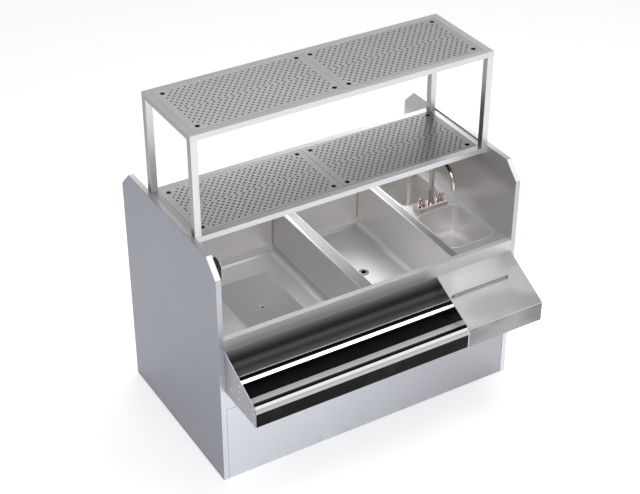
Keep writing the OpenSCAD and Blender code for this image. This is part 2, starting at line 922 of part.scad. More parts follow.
// Y-Z outline of the divider between the rows, with both top edges rolled
module divider_outline(inset) {
    front = inset - rail_back_row - rail_divider_t;
    back = -rail_back_row - inset;
    foot = rail_floor_z - inset;
    front_top = [front, slope_z(front, rail_slope, inset)];
    back_top = [back, slope_z(back, rail_slope, inset)];
    difference() {
        polygon([[front, foot], [back, foot], back_top, front_top]);
        corner_off(front_top, -90, rail_slope, rail_divider_r - inset);
        corner_off(back_top, 180 + rail_slope, 270, divider_back_r - inset);
    }
}

module rail_divider() {
    color(BRIGHT) from_corner()
        along_x(rail_x + rail_end_t, rail_l - 2 * rail_end_t) difference() {
            divider_outline(0);
            divider_outline(sheet);
        }
}

module rail_end_left() {
    color(STEEL) from_corner() along_x(rail_x, rail_end_t) rail_outline(0);
}

module rail_end_right() {
    color(STEEL) from_corner() along_x(rail_x + rail_l - rail_end_t, rail_end_t) rail_outline(0);
}

// Y-Z places where the end plates are riveted to the trough and its divider
rivet_front_y = 3 * rivet_in - rail_d;
rivet_front_z = slope_z(rivet_front_y, rail_slope, 0);
rivet_places = [
    [rivet_wall_y, rail_floor_z - rivet_in],
    [rivet_in - rail_back_row, rail_floor_z - rivet_in],
    [-rail_back_row - rivet_in, rail_floor_z + 6 * rivet_in],
    [-rail_back_row - rivet_in, rail_floor_z + 11 * rivet_in],
    [rivet_low_y, rail_bottom_z + 2 * rivet_in],
    [rivet_front_y, rail_bottom_z + 2 * rivet_in],
    [rivet_front_y, rivet_front_z - rivet_low_drop],
    [rivet_front_y, rivet_front_z - rivet_high_drop]];

module rail_rivets() {
    color(BRIGHT) from_corner()
        for (x = [rail_x - rivet_h, rail_x + rail_l], p = rivet_places)
            translate([x, p[0], p[1]]) rotate([0, 90, 0]) cylinder(d = rivet_d, h = rivet_h);
}

// Bolts that hang the rail and the corner ledge on the fascia from inside
bolt_x = concat(
    [for (i = [1, 3, 5, 7]) rail_x + i * rail_l / 8],
    [for (i = [1, 4]) ledge_x + i * ledge_w / 5]);

module rail_bolts() {
    color(STEEL) from_corner()
        for (x = bolt_x)
            translate([x, 0, bolt_z]) rotate([-90, 0, 0]) {
                cylinder(d = bolt_d, h = sheet + bolt_head_h);
                translate([0, 0, sheet]) cylinder(d = bolt_head_d, h = bolt_head_h, $fn = 6);
            }
}

module ledge_outline(inset) {
    front_outline(ledge_d, ledge_h, ledge_slope, ledge_roll_r, inset);
}

// Sloping ledge with a rolled front, closed ends and an open underside
module corner_ledge() {
    color(BRIGHT) from_corner() {
        along_x(ledge_x, ledge_w) intersection() {
            ledge_outline(0);
            union() {
                difference() {
                    ledge_outline(0);
                    ledge_outline(sheet);
                }
                translate([-sheet, ledge_bottom_z]) square([sheet, ledge_h]);
                translate([-ledge_d, ledge_bottom_z]) square([ledge_return_w, sheet]);
            }
        }
        for (x = [ledge_x, ledge_x + ledge_w - sheet])
            along_x(x, sheet) ledge_outline(0);
    }
}

// Thin bar along the ledge on two feet
module towel_bar() {
    color(BRIGHT) from_corner()
        translate([ledge_x + towel_left, 0, apron_z]) rotate([ledge_slope, 0, 0])
            translate([0, -towel_down, 0]) {
                translate([0, 0, towel_stand]) rotate([0, 90, 0]) cylinder(d = towel_d, h = towel_l);
                for (x = [0, towel_l])
                    translate([x, 0, 0]) {
                        cylinder(d = towel_d, h = towel_stand);
                        cylinder(d = towel_flange_d, h = towel_flange_h);
                        translate([0, 0, towel_stand]) sphere(d = towel_d, $fn = 32);
                    }
            }
}

// Angle that carries the lower tier on a side panel
module tier_bracket() {
    translate([side_t, tier_front, tier_low_h - tier_frame_h - bracket_leg]) {
        cube([bracket_t, tier_d, bracket_leg]);
        translate([0, 0, bracket_leg - bracket_t]) cube([bracket_leg, tier_d, bracket_t]);
    }
}

module tier_brackets() {
    color(STEEL) from_corner() {
        tier_bracket();
        on_right() tier_bracket();
    }
}

// Heads of the screws through a bracket
module bracket_screw_row() {
    z = tier_low_h - tier_frame_h - (bracket_leg + bracket_t) / 2;
    for (i = [0 : bracket_screws_n - 1])
        translate([side_t + bracket_t, tier_front + tier_d * (i + 0.5) / bracket_screws_n, z])
            rotate([0, 90, 0]) cylinder(d = screw_head_d, h = screw_head_h);
}

module bracket_screws() {
    color(STEEL) from_corner() {
        bracket_screw_row();
        on_right() bracket_screw_row();
    }
}

// Square tube with a threaded plug in each end; the top plug locates in the upper tier's frame
module post(x, y) {
    bore = post_w - 2 * tube_t;
    translate([x, y, tier_low_h]) difference() {
        union() {
            cube([post_w, post_w, post_l]);
            translate([tube_t, tube_t, post_l]) cube([bore, bore, tier_frame_h - tube_t]);
        }
        translate([tube_t, tube_t, plug_h]) cube([bore, bore, post_l - 2 * plug_h]);
        for (z = [-cut, post_l - plug_h - cut])
            translate([post_w / 2, post_w / 2, z])
                cylinder(d = screw_d + 2 * run_gap, h = plug_h + tier_frame_h + 2 * cut);
    }
}

post_right_x = tier_x + tier_w - post_w;
post_back_y = tier_front + tier_d - post_w;

// Left and right post at depth y
module post_pair(y) {
    color(BRIGHT) from_corner()
        for (x = [tier_x, post_right_x]) post(x, y);
}

module posts_front() {
    post_pair(tier_front);
}

module posts_back() {
    post_pair(post_back_y);
}

// Tier frame: a channel ring, a seat all round its opening and a bar under the inserts' joint
module tier_frame(top) {
    low = top - tier_frame_h;
    seat_z = top - insert_edge_h - sheet;
    color(BRIGHT) from_corner() translate([tier_x, tier_front, 0]) difference() {
        union() {
            translate([0, 0, low]) channel_ring(tier_w, tier_d, post_w, tier_frame_h, tube_t);
            translate([post_w, post_w, seat_z]) difference() {
                cube([open_w, open_d, sheet]);
                for (x = [insert_seat_w, (open_w + bar_w) / 2])
                    translate([x, insert_seat_w, -cut])
                        cube([(open_w - bar_w) / 2 - insert_seat_w, open_d - 2 * insert_seat_w,
                            sheet + 2 * cut]);
            }
            for (x = [(tier_w - bar_w) / 2, (tier_w + bar_w) / 2 - sheet])
                translate([x, post_w, seat_z - bar_web_h]) cube([sheet, open_d, bar_web_h]);
        }
        for (x = [post_w / 2, tier_w - post_w / 2], y = [post_w / 2, tier_d - post_w / 2])
            translate([x, y, top - tube_t - cut])
                cylinder(d = screw_d + screw_gap, h = tube_t + 2 * cut);
    }
}

module lower_tier_frame() {
    tier_frame(tier_low_h);
}

module upper_tier_frame() {
    tier_frame(tier_high_h);
}

// Closed floor between a tier's frame members, which catches what drips through the inserts
module tier_floor(top) {
    color(STEEL) from_corner()
        translate([tier_x + post_w, tier_front + post_w, top - tier_frame_h])
            cube([open_w, open_d, sheet]);
}

module lower_tier_floor() {
    tier_floor(tier_low_h);
}

module upper_tier_floor() {
    tier_floor(tier_high_h);
}

// Screws down into the post tops, and up into the post feet from inside the lower frame
module tier_screws() {
    color(BRIGHT) from_corner()
        for (x = [tier_x, post_right_x], y = [tier_front, post_back_y])
            translate([x + post_w / 2, y + post_w / 2, 0]) {
                translate([0, 0, tier_high_h]) cylinder(d = screw_head_d, h = screw_head_h);
                translate([0, 0, tier_high_h - screw_l]) cylinder(d = screw_d, h = screw_l);
                translate([0, 0, tier_low_h - tube_t - screw_head_h])
                    cylinder(d = screw_head_d, h = screw_head_h);
                translate([0, 0, tier_low_h - tube_t]) cylinder(d = screw_d, h = plug_h);
            }
}

// Staggered holes, mirrored about the middle, with a finger hole near each corner
module perforation() {
    for (side = [-1, 1], row = [0 : half_rows - 1]) {
        columns = hole_columns - row % 2;
        skip = row < half_rows - 2 ? 0 : 1;
        y = side * (middle_pitch / 2 + row * row_pitch);
        for (i = [skip : columns - 1 - skip])
            translate([(i - (columns - 1) / 2) * hole_pitch, y]) circle(d = hole_d, $fn = 16);
    }
    for (x = [-finger_x, finger_x], y = [-finger_y, finger_y])
        translate([x, y]) circle(d = finger_d);
}

// Perforated sheet of a lift-out insert
module insert(x, top) {
    color(BRIGHT) from_corner()
        translate([x + insert_w / 2, insert_y + insert_d / 2, top - sheet])
            linear_extrude(sheet) difference() {
                square([insert_w, insert_d], center = true);
                perforation();
            }
}

// Edge strip welded all round under an insert's sheet, which stands on the frame's seat
module insert_rim(x, top) {
    h = insert_edge_h - sheet;
    color(BRIGHT) from_corner() translate([x, insert_y, top - insert_edge_h]) difference() {
        cube([insert_w, insert_d, h]);
        translate([sheet, sheet, -cut])
            cube([insert_w - 2 * sheet, insert_d - 2 * sheet, h + 2 * cut]);
    }
}

insert_y = tier_front + post_w + insert_gap;
insert_left_x = tier_x + post_w + insert_gap / 2;
insert_right_x = insert_left_x + insert_w + insert_gap;

module lower_insert_left() {
    insert(insert_left_x, tier_low_h);
}

module lower_insert_right() {
    insert(insert_right_x, tier_low_h);
}

module upper_insert_left() {
    insert(insert_left_x, tier_high_h);
}

module upper_insert_right() {
    insert(insert_right_x, tier_high_h);
}

module lower_rim_left() {
    insert_rim(insert_left_x, tier_low_h);
}

module lower_rim_right() {
    insert_rim(insert_right_x, tier_low_h);
}

module upper_rim_left() {
    insert_rim(insert_left_x, tier_high_h);
}

module upper_rim_right() {
    insert_rim(insert_right_x, tier_high_h);
}

side_panel_left();
side_panel_right();
side_liners();
back_panel();
base_frame();
front_fascia();
access_panel();
access_panel_catches();
deck_top();
sink_deck();
divider_cap_left();
divider_cap_right();
open_well();
ice_bin_liner();
ice_bin_foam();
rear_well();
sink_bowl();
bowl_beads();
open_well_drain();
ice_bin_drain();
rear_well_drain();
sink_drain();
sink_strainer();
blender_shelf();
blender_shelf_arms();
outlet_box();
outlet_receptacle();
outlet_plate();
faucet_base();
faucet_shanks();
faucet_bonnets();
faucet_spout();
faucet_aerator();
hot_handle();
cold_handle();
rail_trough();
rail_divider();
rail_end_left();
rail_end_right();
rail_rivets();
rail_bolts();
corner_ledge();
towel_bar();
tier_brackets();
bracket_screws();
posts_front();
posts_back();
lower_tier_frame();
upper_tier_frame();
lower_tier_floor();
upper_tier_floor();
tier_screws();
lower_insert_left();
lower_insert_right();
upper_insert_left();
upper_insert_right();
lower_rim_left();
lower_rim_right();
upper_rim_left();
upper_rim_right();
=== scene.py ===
"""Looks of a stainless bar station: ice bin, open well, sink, faucet, bottle rail and glass tiers."""
import json
import math

import bmesh
import bpy
import numpy as np
from bpy.props import FloatProperty, FloatVectorProperty, IntProperty, PointerProperty
from mathutils import Matrix, Vector


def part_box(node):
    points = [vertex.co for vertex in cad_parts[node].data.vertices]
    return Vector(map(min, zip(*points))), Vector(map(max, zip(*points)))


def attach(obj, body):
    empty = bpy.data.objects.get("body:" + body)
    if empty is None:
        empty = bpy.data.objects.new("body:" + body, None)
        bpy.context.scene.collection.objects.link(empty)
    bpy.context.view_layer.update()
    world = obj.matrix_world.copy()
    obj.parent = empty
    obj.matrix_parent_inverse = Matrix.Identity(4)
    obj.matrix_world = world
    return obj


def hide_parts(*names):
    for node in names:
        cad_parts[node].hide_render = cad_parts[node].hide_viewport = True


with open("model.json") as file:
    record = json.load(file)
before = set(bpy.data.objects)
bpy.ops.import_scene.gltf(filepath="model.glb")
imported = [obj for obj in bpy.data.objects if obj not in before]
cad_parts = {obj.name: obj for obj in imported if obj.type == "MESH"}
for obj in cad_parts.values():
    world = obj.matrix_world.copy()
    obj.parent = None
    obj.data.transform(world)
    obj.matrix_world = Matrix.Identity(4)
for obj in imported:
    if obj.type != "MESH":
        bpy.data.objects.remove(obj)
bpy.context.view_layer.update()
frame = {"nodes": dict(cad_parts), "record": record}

bl_info = {
    "name": "Bar sink with ice bin",
    "version": (1, 0, 0),
    "blender": (4, 5, 0),
    "location": "3D View > Sidebar > Bar station",
    "description": "Builds the finishes, rolled edges and small fittings of a bar station",
    "category": "Add Mesh",
}

NODES = frame["nodes"]
BODIES = frame["record"]["behaviour"]["bodies"]
BODY_OF = {node: body for body, members in BODIES.items() for node in members}

# Directions that a face may point in; the panels' cut corners face ahead and up
LEFT = (-1, 0, 0)
AHEAD = (0, -1, 0)
BEHIND = (0, 1, 0)
UP = (0, 0, 1)
CUT = (0, -0.7, 0.7)

# Thickness of the ledge's sheet, and depth of the strip folded in along its foot
SHEET = 0.0015
LEDGE_RETURN = 0.025

# Centre of the shelf's finger hole, from the shelf's front left corner
FINGER_HOLE = (0.127, 0.100)
# Drawn edge in that hole: bore, reach, lip, wall, and how far its top lies below the shelf's
HOLE_RADIUS = 0.0104
HOLE_DEPTH = 0.014
HOLE_LIP = 0.0005
HOLE_WALL = 0.0006
HOLE_DROP = 0.0002

# Radii on the edges of the small fittings
OUTLET_BOX_EDGE = 0.0012
OUTLET_PLATE_EDGE = 0.0006
FAUCET_BASE_EDGE = 0.0009

# Places that several finishes share, read from the frame
DECK_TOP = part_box("ice_bin_liner")[1].z
APRON_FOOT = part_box("rail_trough")[1].z
RIM_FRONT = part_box("deck_top")[0].y
RIM_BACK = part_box("ice_bin_liner")[0].y
LEDGE_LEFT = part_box("corner_ledge")[0].x
RAIL_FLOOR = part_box("rail_divider")[0].z
DIVIDER_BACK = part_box("rail_divider")[1].y
# Depths on the bottle rail where one band of painted reflection meets the next
LIP_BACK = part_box("rail_trough")[0].y + 0.0275
RAIL_WALL = RIM_FRONT - 0.004
WHITE_GLINT_BACK = DIVIDER_BACK - 0.0105
FLOOR_REFLECTION_BACK = DIVIDER_BACK - 0.024
# Width over which one painted tone turns into the next, and widths of the slower changes
TONE_BLEND = 0.001
LIP_FADE = 0.05
APRON_FADE = 0.075
# Heights over which the upper tier's painted shade turns into the lower tier's deeper painted shade
BETWEEN_TIERS = (1.35, 1.25)
# Painted reflection greys of the rail's back wall, from its floor to its top
WALL_REFLECTION_TONES = ((0.0, 0.85), (0.06, 0.42), (0.26, 0.15), (0.43, 0.29), (0.58, 0.06),
              (0.70, 0.09), (0.85, 0.20), (1.0, 0.35))
# Painted reflection greys of the deck's apron, from its foot to its top
APRON_REFLECTION_TONES = ((0.0, 0.34), (1.0, 0.50))
# Colours of painted highlights: on the brightest edges, on the shelf's left flange and on the rail's
# rivets
GLINT = (0.97, 0.97, 0.98)
PAINTED_BRIGHT = (0.97, 0.97, 0.97)


# ---------------------------------------------------------------- settings

class StationFinishes(bpy.types.PropertyGroup):
    """Colours and gloss of the sheet metal and fittings"""
    # The outer sides take a darker tint than the fronts: painted shade on the faces that point
    # sideways and back
    outer: FloatVectorProperty(
        name="Outer sides", description="Tint of the outer faces of the side panels",
        subtype="COLOR", size=3, min=0, max=1, default=(0.275, 0.28, 0.315))
    front: FloatVectorProperty(
        name="Front panels", description="Tint of the access panel and the fixed front",
        subtype="COLOR", size=3, min=0, max=1, default=(0.60, 0.61, 0.65))
    inner: FloatVectorProperty(
        name="Inner walls", description="Tint of the liners and the back panel",
        subtype="COLOR", size=3, min=0, max=1, default=(0.60, 0.585, 0.585))
    tub: FloatVectorProperty(
        name="Tubs", description="Tint of the open well, the ice bin and the sink bowl",
        subtype="COLOR", size=3, min=0, max=1, default=(0.94, 0.925, 0.915))
    deck: FloatVectorProperty(
        name="Deck", description="Tint of the deck, the divider caps, the loose shelf and the ledge",
        subtype="COLOR", size=3, min=0, max=1, default=(0.70, 0.683, 0.688))
    tier: FloatVectorProperty(
        name="Tiers", description="Tint of the tier frames, inserts and posts",
        subtype="COLOR", size=3, min=0, max=1, default=(0.70, 0.70, 0.71))
    rail: FloatVectorProperty(
        name="Rail end", description="Tint of the rail's mirror-polished right end plate",
        subtype="COLOR", size=3, min=0, max=1, default=(0.90, 0.90, 0.91))
    chrome: FloatVectorProperty(
        name="Faucet", description="Tint of the chromed faucet",
        subtype="COLOR", size=3, min=0, max=1, default=(0.62, 0.555, 0.52))
    rough: FloatProperty(
        name="Brushed roughness", description="Mean roughness of the brushed sheets",
        min=0.05, max=0.8, default=0.34)
    grain: FloatProperty(
        name="Grain", description="How strongly the brushing shows",
        min=0, max=1, default=0.35)


class StationEdges(bpy.types.PropertyGroup):
    """Sizes of the rolled edges that the flat CAD sheets get"""
    sheet: FloatProperty(
        name="Sheet edge", description="Radius on the edge of one folded sheet",
        unit="LENGTH", subtype="DISTANCE", min=0.0001, max=0.0007, default=0.0005)
    panel: FloatProperty(
        name="Panel edge", description="Radius on the folded edges of the thick panels",
        unit="LENGTH", subtype="DISTANCE", min=0.0005, max=0.004, default=0.0018)
    tube: FloatProperty(
        name="Tube edge", description="Radius on the corners of the posts",
        unit="LENGTH", subtype="DISTANCE", min=0.0005, max=0.004, default=0.0018)
    nose: FloatProperty(
        name="Deck nose", description="Radius where the deck turns down into the front apron",
        unit="LENGTH", subtype="DISTANCE", min=0.001, max=0.005, default=0.002)
    ledge_slope: FloatProperty(
        name="Ledge slope", description="Slope of the corner ledge", subtype="ANGLE",
        unit="ROTATION", min=0.2, max=0.6, default=math.radians(27.7))
    ledge_fold: FloatProperty(
        name="Ledge fold", description="Radius of the fold along the ledge's front",
        unit="LENGTH", subtype="DISTANCE", min=0.002, max=0.03, default=0.007)
    steps: IntProperty(
        name="Steps", description="Segments across each rolled edge", min=1, max=6, default=3)


class StationStudio(bpy.types.PropertyGroup):
    """Light and floor around the station"""
    sky: FloatProperty(
        name="Surround", description="Strength of the even light from all sides",
        min=0, max=3, default=0.46)
    key: FloatProperty(
        name="Key light", description="Power of the large soft light", subtype="POWER",
        min=0, max=4000, default=120)
    floor: FloatVectorProperty(
        name="Floor", description="Colour of the plain floor", subtype="COLOR",
        size=3, min=0, max=1, default=(0.86, 0.86, 0.87))


def settings(name):
    """The scene's values of one property group."""
    return getattr(bpy.context.scene, name)


# ---------------------------------------------------------------- shader maths

class Wire:
    """A number on a shader socket: Python's operators add Math nodes to its tree."""

    def __init__(self, bench, socket):
        self.bench, self.socket = bench, socket

    def _two(self, kind, a, b):
        return self.bench.node("ShaderNodeMath", {"operation": kind}, {0: a, 1: b})

    def __add__(self, other):
        return self._two("ADD", self, other)

    def __radd__(self, other):
        return self._two("ADD", other, self)

    def __sub__(self, other):
        return self._two("SUBTRACT", self, other)

    def __rsub__(self, other):
        return self._two("SUBTRACT", other, self)

    def __mul__(self, other):
        return self._two("MULTIPLY", self, other)

    def __rmul__(self, other):
        return self._two("MULTIPLY", other, self)

    def __truediv__(self, other):
        return self._two("DIVIDE", self, other)

    def __rtruediv__(self, other):
        return self._two("DIVIDE", other, self)

    def __abs__(self):
        return self._two("ABSOLUTE", self, 0.0)

    def high(self, other):
        """The larger of two numbers."""
        return self._two("MAXIMUM", self, other)

    def low(self, other):
        """The smaller of two numbers."""
        return self._two("MINIMUM", self, other)

    def rise(self, lo, hi):
        """0 below lo, 1 above hi, and an S-curve between; lo may be above hi."""
        return self.bench.node(
            "ShaderNodeMapRange", {"interpolation_type": "SMOOTHSTEP"},
            {"Value": self, "From Min": lo, "From Max": hi, "To Min": 0.0, "To Max": 1.0})


class Bench:
    """One material, its Principled shader and a way to add any node to it."""

    def __init__(self, name):
        self.material = bpy.data.materials.new(name)
        self.material.use_nodes = True
        self.tree = self.material.node_tree
        self.tree.nodes.clear()
        out = self.tree.nodes.new("ShaderNodeOutputMaterial")
        self.bsdf = self.tree.nodes.new("ShaderNodeBsdfPrincipled")
        self.tree.links.new(self.bsdf.outputs[0], out.inputs[0])

    def node(self, kind, choices=None, inputs=None, out=0):
        """Adds a node: its choices are set first, then each socket gets a value or a link."""
        made = self.tree.nodes.new(kind)
        for key, value in (choices or {}).items():
            if key == "stops":
                self.fill_ramp(made.color_ramp, value)
            else:
                setattr(made, key, value)
        for key, value in (inputs or {}).items():
            self.feed(made.inputs[key], value)
        return Wire(self, made.outputs[out])

    def fill_ramp(self, ramp, stops):
        """Puts (place, grey) stops on a ramp."""
        while len(ramp.elements) < len(stops):
            ramp.elements.new(1.0)
        for element, (place, grey) in zip(ramp.elements, stops):
            element.position, element.color = place, (grey, grey, grey, 1)

    def feed(self, socket, value):
        if isinstance(value, Wire):
            self.tree.links.new(value.socket, socket)
        else:
            socket.default_value = value

    def set(self, **values):
        """Feeds the Principled shader's sockets, with _ for a blank in their names."""
        for key, value in values.items():
            self.feed(self.bsdf.inputs[key.replace("_", " ")], value)

    def place(self, scale=(1, 1, 1), turn=(0, 0, 0), at=(0, 0, 0)):
        """Object coordinates, moved, turned and scaled."""
        point = self.node("ShaderNodeTexCoord", out=3)
        return self.node("ShaderNodeMapping", {},
                         {"Vector": point, "Location": at, "Rotation": turn, "Scale": scale})

    def axis(self, index):
        """One of the Object coordinates, in metres."""
        return self.node("ShaderNodeSeparateXYZ", {},
                         {0: self.node("ShaderNodeTexCoord", out=3)}, out=index)

    def noise(self, vector, scale, detail=2.0, rough=0.5):
        return self.node("ShaderNodeTexNoise", {},
                         {"Vector": vector, "Scale": scale, "Detail": detail, "Roughness": rough})

    def blend(self, mask, low, high):
        """Colour low where mask is 0 and high where it is 1."""
        def colour(c):
            return c if isinstance(c, Wire) else (*c, 1.0)
        return self.node("ShaderNodeMix", {"data_type": "RGBA"},
                         {0: mask, 6: colour(low), 7: colour(high)}, out=2)

    def bump(self, height, strength, distance):
        return self.node("ShaderNodeBump", {},
                         {"Height": height, "Strength": strength, "Distance": distance})


def tinted(colour, factor):
    """A colour times a factor, kept under 1."""
    return tuple(min(1.0, c * factor) for c in colour)


# Scale of the grain along the brushing and across it, for each axis that it may run along
LONG, FINE = 3, 420
GRAIN_SCALE = {"X": (LONG, FINE, FINE), "Y": (FINE, LONG, FINE), "Z": (FINE, FINE, LONG)}


def brushed(name, tint, along="X", rough=0.34, metal=0.85, shade=None, marks=0.0):
    """Brushed sheet: fine lines along one axis, soft handling marks and hairline scratches.
    shade(bench) paints light and shade into the colour: where it is 1 the sheet keeps its tint, and
    where it is 0 it is painted deep grey.
    marks is the strength of the scuffs near the floor."""
    b = Bench(name)
    grain = settings("station_finishes").grain
    lines = b.noise(b.place(GRAIN_SCALE[along]), 1.0, 3.0, 0.62)
    coarse = b.noise(b.place(tuple(s * 0.22 for s in GRAIN_SCALE[along])), 1.0, 2.0)
    cloud = b.noise(b.place(), 3.1, 3.0, 0.55)
    hair = b.noise(b.place(tuple(s * 0.5 for s in GRAIN_SCALE[along]), (0.05, 0.04, 0.06)), 1.0)
    scratch = hair.rise(0.69, 0.73)
    mask = 0.5 + (cloud - 0.5) * 0.9 + (coarse - 0.5) * 0.8 * grain
    colour = b.blend(mask, tinted(tint, 0.95), tinted(tint, 1.05))
    colour = b.blend(scratch * 0.15, colour, tinted(tint, 1.2))
    level = rough + (lines - 0.5) * 0.22 * grain + (cloud - 0.5) * 0.10 + scratch * 0.05
    if marks:
        low = b.axis(2).rise(0.09, 0.0) * b.noise(b.place(), 26.0, 3.0).rise(0.42, 0.72)
        colour = b.blend(low * marks, colour, tinted(tint, 0.72))
        level = level + low * 0.15 * marks
    if shade:
        colour = b.blend(shade(b), tinted(tint, 0.12), colour)
    b.set(Base_Color=colour, Metallic=metal, Roughness=level,
          Normal=b.bump(lines, 0.05 * grain, 0.0002))
    return b.material


def facing(b, index):
    """Part of the surface's normal along one axis."""
    return b.node("ShaderNodeSeparateXYZ", {}, {0: b.node("ShaderNodeTexCoord", out=1)}, out=index)


def across(b, node, index):
    """Share of the way across a CAD node's box along one axis, from 0 to 1."""
    low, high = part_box(node)
    return (b.axis(index) - low[index]) / (high[index] - low[index])


def painted_tub_light(node, glow, right=0.0):
    """Painted light and shade of a tub: a painted pool of light on its floor where glow(u, v) is 1,
    for the shares of its width and depth, and painted shade elsewhere, towards its folds, in its
    upright corners and, by the share right, on its right wall."""
    def shade(b):
        up = facing(b, 2)
        lit = glow(across(b, node, 0), across(b, node, 1))
        fold = up.rise(0.05, 0.4) * up.rise(0.97, 0.75)
        corner = abs(facing(b, 0) * facing(b, 1)).rise(0.12, 0.42)
        wall = facing(b, 0).rise(-0.5, -0.9) * right
        return 1 - wall - (up.rise(0.6, 0.97) * (1 - lit) * 0.42).high(fold * 0.16).high(corner * 0.45)
    return shade


def well_glow(u, v):
    """Painted pool of light on the open well's floor, at its back and its right."""
    return v.rise(0.50, 0.72).high(u.rise(0.40, 0.65))


def bin_glow(u, v):
    """Painted pool of light on the ice bin's floor, towards its front left."""
    return u.rise(1.0, 0.55) * v.rise(1.0, 0.45)


def cap_painted_light(node):
    """Painted light and shade of a divider cap: painted grey, with a painted white highlight along the
    left edge that widens to the back and a painted bright line along the right edge."""
    def shade(b):
        u, v = across(b, node, 0), across(b, node, 1)
        edge = 0.07 + v * v * 0.42
        return (0.30 + (edge - u).rise(-0.03, 0.10) + u.rise(0.93, 0.96)).low(1.0)
    return shade


def sheen(b, low, high, tones):
    """Painted reflection: greys along the height from low to high, as a polished wall mirrors what
    stands before it.
    """
    share = (b.axis(2) - low) / (high - low)
    return b.node("ShaderNodeValToRGB", {"stops": tones}, {0: share})


def front_sheen(name, tint, rough):
    """Deck sheet: brushed top with a painted highlight on its front rim, and an apron of painted
    reflection greys that darken downwards over the bottle rail and stay light over the corner ledge."""
    b = Bench(name)
    x, y = b.axis(0), b.axis(1)
    lines = b.noise(b.place(GRAIN_SCALE["X"]), 1.0, 3.0, 0.62)
    cloud = b.noise(b.place(), 3.1, 3.0, 0.55)
    top = b.blend(cloud, tinted(tint, 0.94), tinted(tint, 1.06))
    rim = y.rise(RIM_BACK + 2 * TONE_BLEND, RIM_BACK - 2 * TONE_BLEND)
    top = b.blend(rim, top, tinted(tint, 1.5))
    over_rail = x.rise(LEDGE_LEFT + 4 * TONE_BLEND, LEDGE_LEFT - APRON_FADE)
    apron = b.blend(over_rail, tinted(tint, 0.95), sheen(b, APRON_FOOT, DECK_TOP, APRON_REFLECTION_TONES))
    front = y.rise(RIM_FRONT + 2 * TONE_BLEND, RIM_FRONT + TONE_BLEND)
    upright = abs(facing(b, 1)).rise(0.8, 0.95) * front
    b.set(Base_Color=b.blend(upright, top, apron), Metallic=0.7 - upright * 0.4,
          Roughness=rough + (lines - 0.5) * 0.10 + (cloud - 0.5) * 0.08)
    return b.material


def liner_top_shade(b):
    """Painted shade: the liners are darker towards their top."""
    return 1 - b.axis(2).rise(0.97, 1.06) * 0.35


def shelf_back_shade(b):
    """Painted shade: the loose shelf is darker towards the back."""
    return 1 - across(b, "blender_shelf", 1) * 0.45


def hole_painted_shade(b):
    """Painted highlight and shade in a drawn hole: bright at its rounded lip and painted dark below
    it.
    """
    return (b.axis(2) - DECK_TOP).rise(-0.0065, -0.0045)


def ledge_painted_light(b):
    """Painted light on the ledge: its face is painted darker than its slope, a thin painted highlight
    runs along its fold, and soft painted reflection clouds lie over both."""
    up = facing(b, 2)
    cloud_reflections = b.noise(b.place((1.6, 3.0, 3.0)), 2.4, 2.0).rise(0.35, 0.65) * 0.16
    fold = up.rise(0.15, 0.35) * up.rise(0.80, 0.60)
    return (0.35 + cloud_reflections - up.rise(0.35, 0.1) * 0.22 + fold * 0.6).low(1.0)


def front_right_shade(b):
    """Painted shade: the fronts are darker towards the right end."""
    return 1 - b.axis(0).rise(-0.6, 0.9) * 0.50


def side_top_light(b):
    """Painted light: the sides are a little lighter near their top."""
    return 0.93 + b.axis(2).rise(0.3, 1.15) * 0.07


def insert_painted_shade(b):
    """Painted shade: the tiers' inserts are darker towards the right, and the lower ones are darker.
    """
    right, lower = b.axis(0).rise(-0.7, 0.8), b.axis(2).rise(*BETWEEN_TIERS)
    return 1 - right * 0.30 - lower * (0.44 + right * 0.19)


def lower_frame_shade(b):
    """Painted shade: the lower tier's frame is darker than the upper one."""
    return 1 - b.axis(2).rise(*BETWEEN_TIERS) * 0.45


def front_edge_shade(b):
    """Painted shade: the panels' narrow fronts are darker towards their top and lighter towards the
    floor.
    """
    return 1 - b.axis(2).rise(0.42, 0.78) * 0.26


def polished(name, tint, rough=0.07, along="X"):
    """Mirror-polished sheet with faint draw lines, fingerprints and a few wipe marks."""
    b = Bench(name)
    lines = b.noise(b.place(tuple(s * 0.6 for s in GRAIN_SCALE[along])), 1.0, 2.0)
    print_cloud = b.noise(b.place(), 9.0, 4.0, 0.6)
    smear = print_cloud.rise(0.52, 0.78)
    wave = b.noise(b.place((1.2, 5.0, 5.0)), 1.0, 1.0)
    b.set(Base_Color=b.blend(smear * 0.5, tint, tinted(tint, 1.18)), Metallic=1.0,
          Roughness=rough + smear * 0.09 + (lines - 0.5) * 0.04,
          Normal=b.bump(wave + lines * 0.02, 0.06, 0.002))
    return b.material


